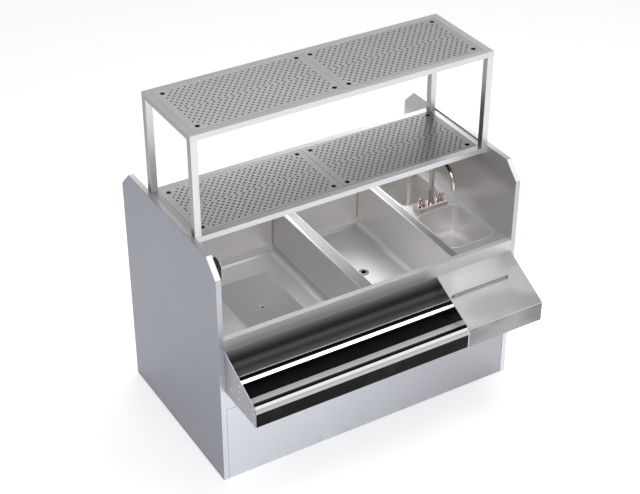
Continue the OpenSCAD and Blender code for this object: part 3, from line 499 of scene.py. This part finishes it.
def rail_polished(name):
    """Mirror finish of the bottle rail with painted reflection bands, where its faces mirror each
    other: the back wall's painted greys change with its height up to a painted dark top edge, the
    divider's top has a painted white highlight, the front row's floor a painted light band, and the
    lip is painted dark, then white, then grey, over a painted dark face."""
    b = Bench(name)
    y, z, up = b.axis(1), b.axis(2), facing(b, 2)
    draw = b.noise(b.place((2, 260, 260)), 1.0, 2.0)
    smear = b.noise(b.place(), 7.0, 4.0, 0.6).rise(0.52, 0.8)
    wall = y.rise(RAIL_WALL, RAIL_WALL + TONE_BLEND)
    lip = y.rise(LIP_BACK + TONE_BLEND, LIP_BACK)
    behind_lip = y.rise(LIP_BACK, LIP_BACK + LIP_FADE)
    divider = y.rise(WHITE_GLINT_BACK + TONE_BLEND, WHITE_GLINT_BACK - TONE_BLEND) * behind_lip
    divider = divider * up.rise(0.70, 0.85) * z.rise(RAIL_FLOOR + 0.03, RAIL_FLOOR + 0.05)
    floor_reflection = y.rise(FLOOR_REFLECTION_BACK + TONE_BLEND, FLOOR_REFLECTION_BACK - TONE_BLEND)
    floor_reflection = up.rise(0.94, 0.99) * floor_reflection * (1 - lip)
    lip_glint = lip * up.rise(0.735, 0.70) * up.rise(0.46, 0.51)
    lip_reflection = lip * up.rise(0.51, 0.46) * up.rise(0.06, 0.11)
    tone = 0.011 + (draw - 0.5) * 0.012 + smear * 0.008
    tone = tone + (divider + lip_glint) * 0.95 + floor_reflection * 0.90 + lip_reflection * 0.50
    tone = tone.low(0.97)
    grey = b.node("ShaderNodeCombineColor", {}, {0: tone, 1: tone, 2: tone * 1.01})
    matt = (wall + floor_reflection + lip_reflection + lip_glint).low(1.0)
    edge = up.rise(0.8, 0.95) * z.rise(APRON_FOOT - 3 * TONE_BLEND, APRON_FOOT - TONE_BLEND)
    back = b.blend(edge, sheen(b, RAIL_FLOOR, APRON_FOOT, WALL_REFLECTION_TONES), (0.12, 0.12, 0.12))
    b.set(Base_Color=b.blend(wall, grey, back),
          Metallic=1 - matt * 0.65,
          Roughness=0.13 + smear * 0.06 + (draw - 0.5) * 0.05 + matt * 0.2,
          Normal=b.bump(draw, 0.03, 0.0003))
    return b.material


def chromed(name, tint):
    """Plated brass: very smooth, with dried water spots."""
    b = Bench(name)
    cells = b.node("ShaderNodeTexVoronoi", {"feature": "F1"},
                   {"Vector": b.place(), "Scale": 210.0})
    spots = cells.rise(0.22, 0.14) * b.noise(b.place(), 60.0).rise(0.5, 0.62)
    haze = b.noise(b.place(), 34.0, 3.0)
    b.set(Base_Color=b.blend(spots * 0.5, tint, tinted(tint, 0.86)), Metallic=1.0,
          Roughness=0.045 + haze * 0.05 + spots * 0.16)
    return b.material


def moulded(name, tint, rough=0.42):
    """Moulded plastic: a fine spark-eroded skin and slight dust."""
    b = Bench(name)
    skin = b.noise(b.place(), 1400.0, 2.0)
    dust = b.noise(b.place(), 45.0, 4.0).rise(0.5, 0.8)
    b.set(Base_Color=b.blend(dust * 0.35, tint, tuple(c * 0.8 + 0.05 for c in tint)),
          Roughness=rough + (skin - 0.5) * 0.2 + dust * 0.1, IOR=1.47,
          Normal=b.bump(skin, 0.15, 0.0002))
    return b.material


def foamed(name, tint):
    """Sprayed insulation: a dimpled, matt skin."""
    b = Bench(name)
    cells = b.noise(b.place(), 90.0, 4.0, 0.6)
    b.set(Base_Color=b.blend(cells, tinted(tint, 0.8), tinted(tint, 1.08)),
          Roughness=0.85, Normal=b.bump(cells, 0.5, 0.004))
    return b.material


MATERIALS = {}


def finish_list():
    """How each finish is made: its function, and what that takes after the finish's name."""
    f = settings("station_finishes")
    # Painted light and shade of the open well and the ice bin
    well_painted_light = painted_tub_light("open_well", well_glow, 0.28)
    bin_painted_light = painted_tub_light("ice_bin_liner", bin_glow, 0.04)
    return {
        # The panel steel in several tints by the way its faces point (outer_side, edge_front,
        # edge_top, edge_upper): painted light and shade, with edge_top a painted highlight on the cut
        # corners
        "outer_side": (brushed, f.outer, "Z", f.rough + 0.06, 0.85, side_top_light, 0.3),
        "edge_front": (brushed, tinted(f.front, 1.12), "Z", f.rough, 0.8, front_edge_shade),
        "edge_top": (brushed, GLINT, "Y", f.rough, 0.4),
        "edge_upper": (brushed, tinted(f.deck, 0.80), "Y", f.rough),
        "front_sheet": (brushed, tinted(f.front, 1.12), "X", f.rough, 0.85, front_right_shade, 0.3),
        "inner_wall": (brushed, f.inner, "Z", f.rough + 0.06, 0.7, liner_top_shade),
        "back_sheet": (brushed, tinted(f.inner, 0.8), "Z", f.rough + 0.06, 0.7),
        "hidden_sheet": (brushed, tinted(f.inner, 0.9), "X", 0.42, 0.8),
        "well_sheet": (brushed, f.tub, "Y", f.rough + 0.1, 0.6, well_painted_light),
        "bin_sheet": (brushed, f.tub, "Y", f.rough + 0.1, 0.6, bin_painted_light),
        # The rear well's brighter, warmer tint is painted light under the lower tier
        "rear_sheet": (brushed, (0.98, 0.955, 0.94), "Y", 0.27, 0.6),
        "bowl_sheet": (brushed, tinted(f.tub, 0.84), "Y", f.rough + 0.15, 0.7),
        "deck_sheet": (front_sheen, f.deck, f.rough - 0.04),
        # edge_glint is a painted highlight on rolled edges and on the tiers' rims
        "edge_glint": (brushed, GLINT, "X", 0.24, 0.55),
        "cap_sheet_left": (brushed, tinted(f.deck, 1.3), "Y", 0.34, 0.6, cap_painted_light("divider_cap_left")),
        "cap_sheet_right": (brushed, tinted(f.deck, 1.3), "Y", 0.34, 0.6, cap_painted_light("divider_cap_right")),
        # The shelf's darker tint is painted shade, and shelf_side is a brighter copy for its left
        # flange: painted light
        "shelf_sheet": (brushed, tinted(f.deck, 0.50), "Y", f.rough, 0.6, shelf_back_shade),
        "shelf_side": (brushed, PAINTED_BRIGHT, "Y", f.rough, 0.1),
        "hole_edge": (brushed, (0.95, 0.95, 0.95), "Y", 0.25, 0.5, hole_painted_shade),
        "tier_front": (brushed, tinted(f.tier, 0.99), "X", f.rough, 0.75),
        "tier_top": (brushed, f.tier, "X", f.rough - 0.02, 0.8, lower_frame_shade),
        # tier_left is a darker copy of the tier steel: painted shade on faces that point left
        "tier_left": (brushed, tinted(f.tier, 0.45), "Y", f.rough),
        # The tier floors are real drip pans, tinted very dark as painted shade seen through the
        # inserts' holes
        "tier_inside": (brushed, tinted(f.tier, 0.13), "X", 0.5, 0.7),
        "insert_sheet": (brushed, tinted(f.tier, 1.05), "X", f.rough, 0.8, insert_painted_shade),
        "post_front": (brushed, tinted(f.tier, 1.05), "Z", f.rough, 0.75),
        # post_left is a darker copy of the post steel: painted shade on faces that point left
        "post_left": (brushed, tinted(f.tier, 0.42), "Z", f.rough - 0.06),
        "ledge_sheet": (brushed, tinted(f.deck, 1.3), "X", f.rough + 0.04, 0.8, ledge_painted_light),
        "towel_steel": (brushed, tinted(f.deck, 0.42), "X", 0.3, 0.9),
        "rail_polish": (rail_polished,),
        "end_mirror": (polished, tinted(f.rail, 0.9), 0.05, "Z"),
        "end_sheet": (brushed, (0.33, 0.33, 0.35), "Z", f.rough),
        # bead_polish is a painted highlight on the rail's rivets
        "bead_polish": (brushed, PAINTED_BRIGHT, "Y", 0.25, 0.35),
        "bead_mirror": (brushed, tinted(f.deck, 1.35), "Y", 0.22, 0.7),
        "drain_polish": (polished, tinted(f.tier, 0.16), 0.16, "Y"),
        "faucet_chrome": (chromed, f.chrome),
        "fastener_steel": (brushed, tinted(f.tier, 0.95), "Z", 0.28),
        "shank_brass": (brushed, (0.70, 0.55, 0.28), "Z", 0.36, 1.0),
        "socket_black": (moulded, (0.002, 0.002, 0.002), 0.3),
        "bin_foam": (foamed, (0.80, 0.72, 0.50)),
    }


def finish_of(name):
    """The named finish, made when it is first asked for."""
    if name not in MATERIALS:
        make, *choices = finish_list()[name]
        MATERIALS[name] = make(name, *choices)
    return MATERIALS[name]


def dress(obj, *names):
    """Gives an object its finishes, in slot order."""
    obj.data.materials.clear()
    for name in names:
        obj.data.materials.append(finish_of(name))
    return obj


# ---------------------------------------------------------------- meshes

def join_up(name, points, faces, body, smooth=40):
    """A new object from points and faces, shaded smooth up to an angle, riding on a body."""
    mesh = bpy.data.meshes.new(name)
    mesh.from_pydata(np.asarray(points, float).tolist(), [], [list(map(int, f)) for f in faces])
    mesh.update()
    mesh.shade_smooth()
    mesh.set_sharp_from_angle(angle=math.radians(smooth))
    obj = bpy.data.objects.new(name, mesh)
    bpy.context.scene.collection.objects.link(obj)
    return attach(obj, body)


def quads(rows, cols, closed_row=False, closed_col=False):
    """Faces of a rows x cols grid of points, closed either way on request."""
    i = np.arange(rows if closed_row else rows - 1)
    j = np.arange(cols if closed_col else cols - 1)
    a, c = np.meshgrid(i, j, indexing="ij")
    b, d = (a + 1) % rows, (c + 1) % cols
    return np.stack([a * cols + c, b * cols + c, b * cols + d, a * cols + d], -1).reshape(-1, 4)


# How near two corners of a CAD mesh are one, how little its flat faces may turn, and the cosine
# past which a face counts as pointing in a direction
MERGE = 2e-6
FLAT = math.radians(0.6)
SAME_WAY = 0.99


def softened(node, radius, finish, angle=35, turned=None, rolled=None, glint=None):
    """A copy of a CAD node whose triangles are merged into flat faces and whose edges are rolled.
    It rides on the node's body and stands for the node. An edge's radius is at most a third of the
    width of the narrower face beside it, so a sheet keeps its thickness. Faces that point along a
    direction in turned take that finish, so lit and shaded copies of one metal are painted on faces
    that point different ways. An edge between two directions in rolled has its own radius, and the
    rolled edges take the finish named in glint, a painted highlight."""
    made = bmesh.new()
    made.from_mesh(NODES[node].data)
    bmesh.ops.remove_doubles(made, verts=made.verts, dist=MERGE)
    bmesh.ops.dissolve_limit(made, angle_limit=FLAT, verts=made.verts, edges=made.edges,
                             delimit=set())
    bmesh.ops.recalc_face_normals(made, faces=made.faces)
    rolled = rolled or {}
    widest = max([radius, *rolled.values()])
    corner = math.cos(math.radians(angle))
    width = {}
    for edge in made.edges:
        if len(edge.link_faces) != 2:
            continue
        near, far = edge.link_faces
        if near.normal.dot(far.normal) > corner:
            continue
        reach = min(2 * f.calc_area() / f.calc_perimeter() for f in (near, far)) / 3
        own = radius
        for between, own_radius in rolled.items():
            meets = [max(near.normal.dot(Vector(way)), far.normal.dot(Vector(way)))
                     for way in between]
            if min(meets) > SAME_WAY:
                own, reach = own_radius, own_radius
        width[frozenset(v.index for v in edge.verts)] = min(own, reach) / widest
    normals = np.array([f.normal for f in made.faces])
    points = [v.co.copy() for v in made.verts]
    faces = [[v.index for v in f.verts] for f in made.faces]
    made.free()
    obj = join_up(node + "_sheet", points, faces, BODY_OF[node], angle)
    weights = obj.data.attributes.new("bevel_weight_edge", "FLOAT", "EDGE")
    ends = np.empty(2 * len(obj.data.edges), np.int32)
    obj.data.edges.foreach_get("vertices", ends)
    weights.data.foreach_set("value", [width.get(frozenset(map(int, pair)), 0.0)
                                       for pair in ends.reshape(-1, 2)])
    roll = obj.modifiers.new("Rolled edge", "BEVEL")
    roll.width = widest
    roll.segments = settings("station_edges").steps
    roll.limit_method = "WEIGHT"
    roll.use_clamp_overlap = True
    roll.harden_normals = True
    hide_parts(node)
    slot_like(obj)
    finishes = [finish, *(turned or {})]
    slots = np.zeros(len(faces), int)
    for i, ahead in enumerate((turned or {}).values()):
        ahead = np.array(ahead, float) / np.linalg.norm(ahead)
        slots[normals @ ahead > SAME_WAY] = i + 1
    if glint:
        roll.material = len(finishes)
        finishes.append(glint)
    dress(obj, *finishes)
    obj.data.polygons.foreach_set("material_index", slots.astype(np.int32))
    return obj


def drawn_hole(centre, radius, depth, lip, wall, around=32, steps=6):
    """Closed ring that lines a hole: a quarter torus from the flat lip down to the radius, where
    r = radius + lip (1 - sin t) and z = lip (cos t - 1) for t from 0 to a right angle, then a
    straight tube down to the depth, and back up inside it by the thickness of the wall."""
    t = np.linspace(0, math.pi / 2, steps)
    inner = radius - wall
    r = np.concatenate([radius + lip * (1 - np.sin(t)), [radius, inner, inner]])
    z = np.concatenate([lip * (np.cos(t) - 1), [-depth, -depth, -lip]])
    turn = np.arange(around) * 2 * math.pi / around
    grid = np.empty((len(r), around, 3))
    grid[..., 0] = centre[0] + r[:, None] * np.cos(turn)
    grid[..., 1] = centre[1] + r[:, None] * np.sin(turn)
    grid[..., 2] = centre[2] + z[:, None]
    return grid.reshape(-1, 3), quads(len(r), around, closed_row=True, closed_col=True)


def folded_front(low, high, slope, fold, steps=8):
    """Y-Z outline between two corners: up the back, down a slope, round a fold and down the face.
    The fold is an arc of its own radius that touches the slope and the face; its centre lies
    that radius behind the face, and the arc's angle runs from a right angle less the slope to 0."""
    turn = math.pi / 2 - slope
    corner_z = high.z - (high.y - low.y) * math.tan(slope)
    centre = np.array([low.y + fold, corner_z - fold * math.tan(turn / 2)])
    angle = np.linspace(turn, 0, steps)
    arc = centre + fold * np.stack([-np.cos(angle), np.sin(angle)], -1)
    back = [[high.y, low.z], [high.y, high.z]]
    foot = [[low.y, low.z], [low.y + LEDGE_RETURN, low.z]]
    return np.concatenate([back, arc, foot])


def trough(outline, x0, x1):
    """A Y-Z outline carried along X from x0 to x1, with a flat cheek at each end."""
    n = len(outline)
    grid = np.empty((2, n, 3))
    grid[..., 0] = np.array([x0, x1])[:, None]
    grid[..., 1:] = outline
    faces = quads(2, n)[:, ::-1].tolist()
    return grid.reshape(-1, 3), faces + [list(range(n))[::-1], list(range(n, 2 * n))]


def slot_like(obj):
    """Returns the new piece as it is, with no finish or slot taken from a CAD node."""
    return obj


# ---------------------------------------------------------------- pieces

class STATION_OT_side_panels(bpy.types.Operator):
    """Side panels, their inner liners and the back panel"""
    bl_idname = "station.side_panels"
    bl_label = "Side panels"

    def execute(self, context):
        edges = settings("station_edges")
        for side in ("left", "right"):
            # The panels' faces take lit and shaded copies of one steel by the way they point, with a
            # painted highlight on the cut corners
            softened(f"side_panel_{side}", edges.panel, "outer_side",
                     turned={"edge_front": AHEAD, "edge_top": CUT, "edge_upper": UP})
        softened("side_liners", edges.sheet, "inner_wall")
        softened("back_panel", edges.panel, "back_sheet", turned={"outer_side": BEHIND})
        return {"FINISHED"}


class STATION_OT_front(bpy.types.Operator):
    """Fixed front, loose front panel, its catches and the base frame"""
    bl_idname = "station.front"
    bl_label = "Front"

    def execute(self, context):
        edges = settings("station_edges")
        softened("front_fascia", edges.sheet, "front_sheet")
        softened("access_panel", edges.panel, "front_sheet")
        softened("base_frame", edges.sheet, "hidden_sheet")
        softened("access_panel_catches", edges.sheet, "hidden_sheet")
        return {"FINISHED"}


class STATION_OT_deck(bpy.types.Operator):
    """Deck, divider caps, tubs and their insulation"""
    bl_idname = "station.deck"
    bl_label = "Deck and tubs"

    def execute(self, context):
        edges = settings("station_edges")
        for deck in ("deck_top", "sink_deck"):
            # The rolled nose takes edge_glint, a painted highlight
            softened(deck, edges.sheet, "deck_sheet", glint="edge_glint",
                     rolled={(AHEAD, UP): edges.nose})
        for side in ("left", "right"):
            softened(f"divider_cap_{side}", edges.sheet, f"cap_sheet_{side}")
        dress(NODES["open_well"], "well_sheet")
        dress(NODES["ice_bin_liner"], "bin_sheet")
        dress(NODES["rear_well"], "rear_sheet")
        dress(NODES["sink_bowl"], "bowl_sheet")
        dress(NODES["bowl_beads"], "bead_mirror")
        dress(NODES["ice_bin_foam"], "bin_foam")
        return {"FINISHED"}


class STATION_OT_drains(bpy.types.Operator):
    """Drains and the sink's strainer"""
    bl_idname = "station.drains"
    bl_label = "Drains"

    def execute(self, context):
        for node in ("open_well_drain", "ice_bin_drain", "rear_well_drain", "sink_drain",
                     "sink_strainer"):
            dress(NODES[node], "drain_polish")
        return {"FINISHED"}


class STATION_OT_shelf(bpy.types.Operator):
    """Loose shelf in the open well and the arms below it"""
    bl_idname = "station.shelf"
    bl_label = "Loose shelf"

    def execute(self, context):
        edges = settings("station_edges")
        # The shelf's left flange takes a brighter copy of its steel: painted light
        softened("blender_shelf", edges.sheet, "shelf_sheet", turned={"shelf_side": LEFT})
        softened("blender_shelf_arms", edges.sheet, "hidden_sheet")
        low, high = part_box("blender_shelf")
        centre = (low.x + FINGER_HOLE[0], low.y + FINGER_HOLE[1], high.z - HOLE_DROP)
        # The drawn edge is a real lip carried deeper than a real one, so that its painted dark wall
        # stands in for the shade under the shelf
        points, faces = drawn_hole(centre, HOLE_RADIUS, HOLE_DEPTH, HOLE_LIP, HOLE_WALL)
        hole = join_up("shelf_hole_edge", points, faces, BODY_OF["blender_shelf"])
        slot_like(hole)
        dress(hole, "hole_edge")
        return {"FINISHED"}


class STATION_OT_outlet(bpy.types.Operator):
    """Outlet on the left liner"""
    bl_idname = "station.outlet"
    bl_label = "Outlet"

    def execute(self, context):
        softened("outlet_box", OUTLET_BOX_EDGE, "socket_black")
        dress(NODES["outlet_receptacle"], "socket_black")
        softened("outlet_plate", OUTLET_PLATE_EDGE, "fastener_steel")
        return {"FINISHED"}


class STATION_OT_faucet(bpy.types.Operator):
    """Faucet, its handles and its tails"""
    bl_idname = "station.faucet"
    bl_label = "Faucet"

    def execute(self, context):
        # Its rolled edges take edge_glint, a painted highlight
        softened("faucet_base", FAUCET_BASE_EDGE, "faucet_chrome", glint="edge_glint")
        for node in ("faucet_bonnets", "faucet_spout", "faucet_aerator", "hot_handle",
                     "cold_handle"):
            dress(NODES[node], "faucet_chrome")
        dress(NODES["faucet_shanks"], "shank_brass")
        return {"FINISHED"}


class STATION_OT_rail(bpy.types.Operator):
    """Bottle rail with its divider, end plates, rivets and bolts"""
    bl_idname = "station.rail"
    bl_label = "Bottle rail"

    def execute(self, context):
        for node in ("rail_trough", "rail_divider"):
            dress(NODES[node], "rail_polish")
        dress(NODES["rail_end_left"], "end_sheet")
        dress(NODES["rail_end_right"], "end_mirror")
        dress(NODES["rail_rivets"], "bead_polish")
        dress(NODES["rail_bolts"], "fastener_steel")
        return {"FINISHED"}


class STATION_OT_ledge(bpy.types.Operator):
    """Corner ledge and its towel bar"""
    bl_idname = "station.ledge"
    bl_label = "Corner ledge"

    def execute(self, context):
        edges = settings("station_edges")
        low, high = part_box("corner_ledge")
        outline = folded_front(low, high, edges.ledge_slope, edges.ledge_fold)
        points, faces = trough(outline, low.x, high.x)
        ledge = join_up("ledge_shell", points, faces, BODY_OF["corner_ledge"], smooth=30)
        wall = ledge.modifiers.new("Sheet", "SOLIDIFY")
        wall.thickness = SHEET
        wall.offset = -1
        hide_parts("corner_ledge")
        slot_like(ledge)
        dress(ledge, "ledge_sheet")
        dress(NODES["towel_bar"], "towel_steel")
        return {"FINISHED"}


class STATION_OT_tiers(bpy.types.Operator):
    """Glass tiers: brackets, posts, frames, inserts and screws"""
    bl_idname = "station.tiers"
    bl_label = "Glass tiers"

    def execute(self, context):
        edges = settings("station_edges")
        softened("tier_brackets", edges.sheet, "hidden_sheet")
        for end in ("front", "back"):
            # The posts' left faces take a darker copy of their steel: painted shade
            softened(f"posts_{end}", edges.tube, "post_front", turned={"post_left": LEFT})
        for level in ("lower", "upper"):
            # The frames' front and left faces take lit and shaded copies of the tier steel, and their
            # rolled edges a painted highlight
            softened(f"{level}_tier_frame", edges.sheet, "tier_top",
                     turned={"tier_front": AHEAD, "tier_left": LEFT}, glint="edge_glint")
            dress(NODES[f"{level}_tier_floor"], "tier_inside")
            for side in ("left", "right"):
                dress(NODES[f"{level}_insert_{side}"], "insert_sheet")
                # The rims take edge_glint: a painted highlight round each insert
                dress(NODES[f"{level}_rim_{side}"], "edge_glint")
        for node in ("bracket_screws", "tier_screws"):
            dress(NODES[node], "fastener_steel")
        return {"FINISHED"}


# ---------------------------------------------------------------- stage

# Camera: its place, its turn, tip and roll in degrees, and its lens and sensor in millimetres
EYE = (-2.9211, -4.7188, 4.5069)
EYE_AZIMUTH, EYE_DOWN, EYE_ROLL = 30.99, 33.79, 0.137
EYE_LENS = 84.15
EYE_SENSOR = 36
# Farthest distance that the camera draws
FAR = 100

# Half the floor's width, its points each way, its drop below the feet, and its own glow
FLOOR_REACH = 30
FLOOR_POINTS = 5
FLOOR_DROP = 0.0005
FLOOR_GLOW = 0.45
# Colour of the even light from all sides
SURROUND = (0.97, 0.985, 1.0, 1)

# Each light's name, its place, the point it faces, its size, and its share of the key's power
LIGHTS = (
    ("key", (-2.0, -3.8, 5.0), (0, 0, 0.6), (5.0, 3.0), 1.0),
    ("overhead", (1.2, -0.3, 4.4), (0, -0.3, 0.6), (3.0, 2.0), 0.5),
    ("fill", (4.2, -2.0, 2.6), (0, 0, 0.8), (2.4, 2.4), 0.06),
    ("back", (0.55, 1.25, 1.42), (0.1, 0.1, 0.55), (2.2, 0.5), 0.10),
)


def aim(at, azimuth, down, roll=0.0):
    """A matrix at a point, looking along +Y turned to +X by azimuth and tipped down."""
    a, e, r = (math.radians(x) for x in (azimuth, down, roll))
    ahead = Vector((math.sin(a) * math.cos(e), math.cos(a) * math.cos(e), -math.sin(e)))
    right = Vector((math.cos(a), -math.sin(a), 0))
    up = right.cross(ahead)
    right, up = (right * math.cos(r) + up * math.sin(r), up * math.cos(r) - right * math.sin(r))
    made = Matrix((right, up, -ahead)).transposed().to_4x4()
    made.translation = at
    return made


def soft_light(name, at, look, size, power):
    """A rectangular white light that faces a point, and that the camera doesn't see."""
    light = bpy.data.lights.new(name, "AREA")
    light.shape = "RECTANGLE"
    light.size, light.size_y = size
    light.energy = power
    obj = bpy.data.objects.new(name, light)
    obj.matrix_world = Matrix.Translation(at) @ (
        (Vector(look) - Vector(at)).to_track_quat("-Z", "Y").to_matrix().to_4x4())
    bpy.context.scene.collection.objects.link(obj)
    obj.visible_camera = False
    return obj


class STATION_OT_stage(bpy.types.Operator):
    """Camera, floor and soft studio light"""
    bl_idname = "station.stage"
    bl_label = "Stage"

    def execute(self, context):
        studio = settings("station_studio")
        scene = context.scene
        camera = bpy.data.objects.new("eye", bpy.data.cameras.new("eye"))
        camera.data.lens, camera.data.sensor_width = EYE_LENS, EYE_SENSOR
        camera.data.clip_end = FAR
        camera.matrix_world = aim(EYE, EYE_AZIMUTH, EYE_DOWN, EYE_ROLL)
        scene.collection.objects.link(camera)
        scene.camera = camera

        reach = np.linspace(-FLOOR_REACH, FLOOR_REACH, FLOOR_POINTS)
        x, y = np.meshgrid(reach, reach, indexing="ij")
        points = np.stack([x, y, np.full_like(x, -FLOOR_DROP)], -1).reshape(-1, 3)
        mesh = bpy.data.meshes.new("floor")
        mesh.from_pydata(points.tolist(), [],
                         quads(FLOOR_POINTS, FLOOR_POINTS)[:, ::-1].tolist())
        floor = bpy.data.objects.new("floor", mesh)
        scene.collection.objects.link(floor)
        b = Bench("floor")
        wash = b.noise(b.place(), 0.4, 2.0)
        b.set(Base_Color=b.blend(wash, studio.floor, tinted(studio.floor, 1.03)), Roughness=0.9,
              Emission_Color=(1.0, 1.0, 1.0, 1.0), Emission_Strength=FLOOR_GLOW)
        mesh.materials.append(b.material)

        world = bpy.data.worlds.new("surround")
        scene.world = world
        world.use_nodes = True
        background = world.node_tree.nodes["Background"]
        background.inputs[0].default_value = SURROUND
        background.inputs[1].default_value = studio.sky
        scene.view_settings.view_transform = "Standard"

        for name, at, look, size, share in LIGHTS:
            soft_light(name, at, look, size, studio.key * share)
        return {"FINISHED"}


class STATION_PT_panel(bpy.types.Panel):
    """Lists the station's pieces and settings"""
    bl_idname = "STATION_PT_panel"
    bl_label = "Bar station"
    bl_space_type = "VIEW_3D"
    bl_region_type = "UI"
    bl_category = "Bar station"

    def draw(self, context):
        for group in ("station_finishes", "station_edges", "station_studio"):
            box = self.layout.box()
            values = getattr(context.scene, group)
            for key in values.__annotations__:
                box.prop(values, key)
        for operator in BUILD_ORDER:
            self.layout.operator(operator.bl_idname)


BUILD_ORDER = (
    STATION_OT_side_panels, STATION_OT_front, STATION_OT_deck, STATION_OT_drains,
    STATION_OT_shelf, STATION_OT_outlet, STATION_OT_faucet, STATION_OT_rail, STATION_OT_ledge,
    STATION_OT_tiers, STATION_OT_stage)
GROUPS = {"station_finishes": StationFinishes, "station_edges": StationEdges,
          "station_studio": StationStudio}


def register():
    for group in GROUPS.values():
        bpy.utils.register_class(group)
    for name, group in GROUPS.items():
        setattr(bpy.types.Scene, name, PointerProperty(type=group))
    for operator in BUILD_ORDER:
        bpy.utils.register_class(operator)
    bpy.utils.register_class(STATION_PT_panel)


def unregister():
    bpy.utils.unregister_class(STATION_PT_panel)
    for operator in reversed(BUILD_ORDER):
        bpy.utils.unregister_class(operator)
    for name in GROUPS:
        delattr(bpy.types.Scene, name)
    for group in GROUPS.values():
        bpy.utils.unregister_class(group)


def main():
    """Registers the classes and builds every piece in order."""
    register()
    for operator in BUILD_ORDER:
        area, verb = operator.bl_idname.split(".")
        getattr(getattr(bpy.ops, area), verb)()


if __name__ == "__main__":
    main()
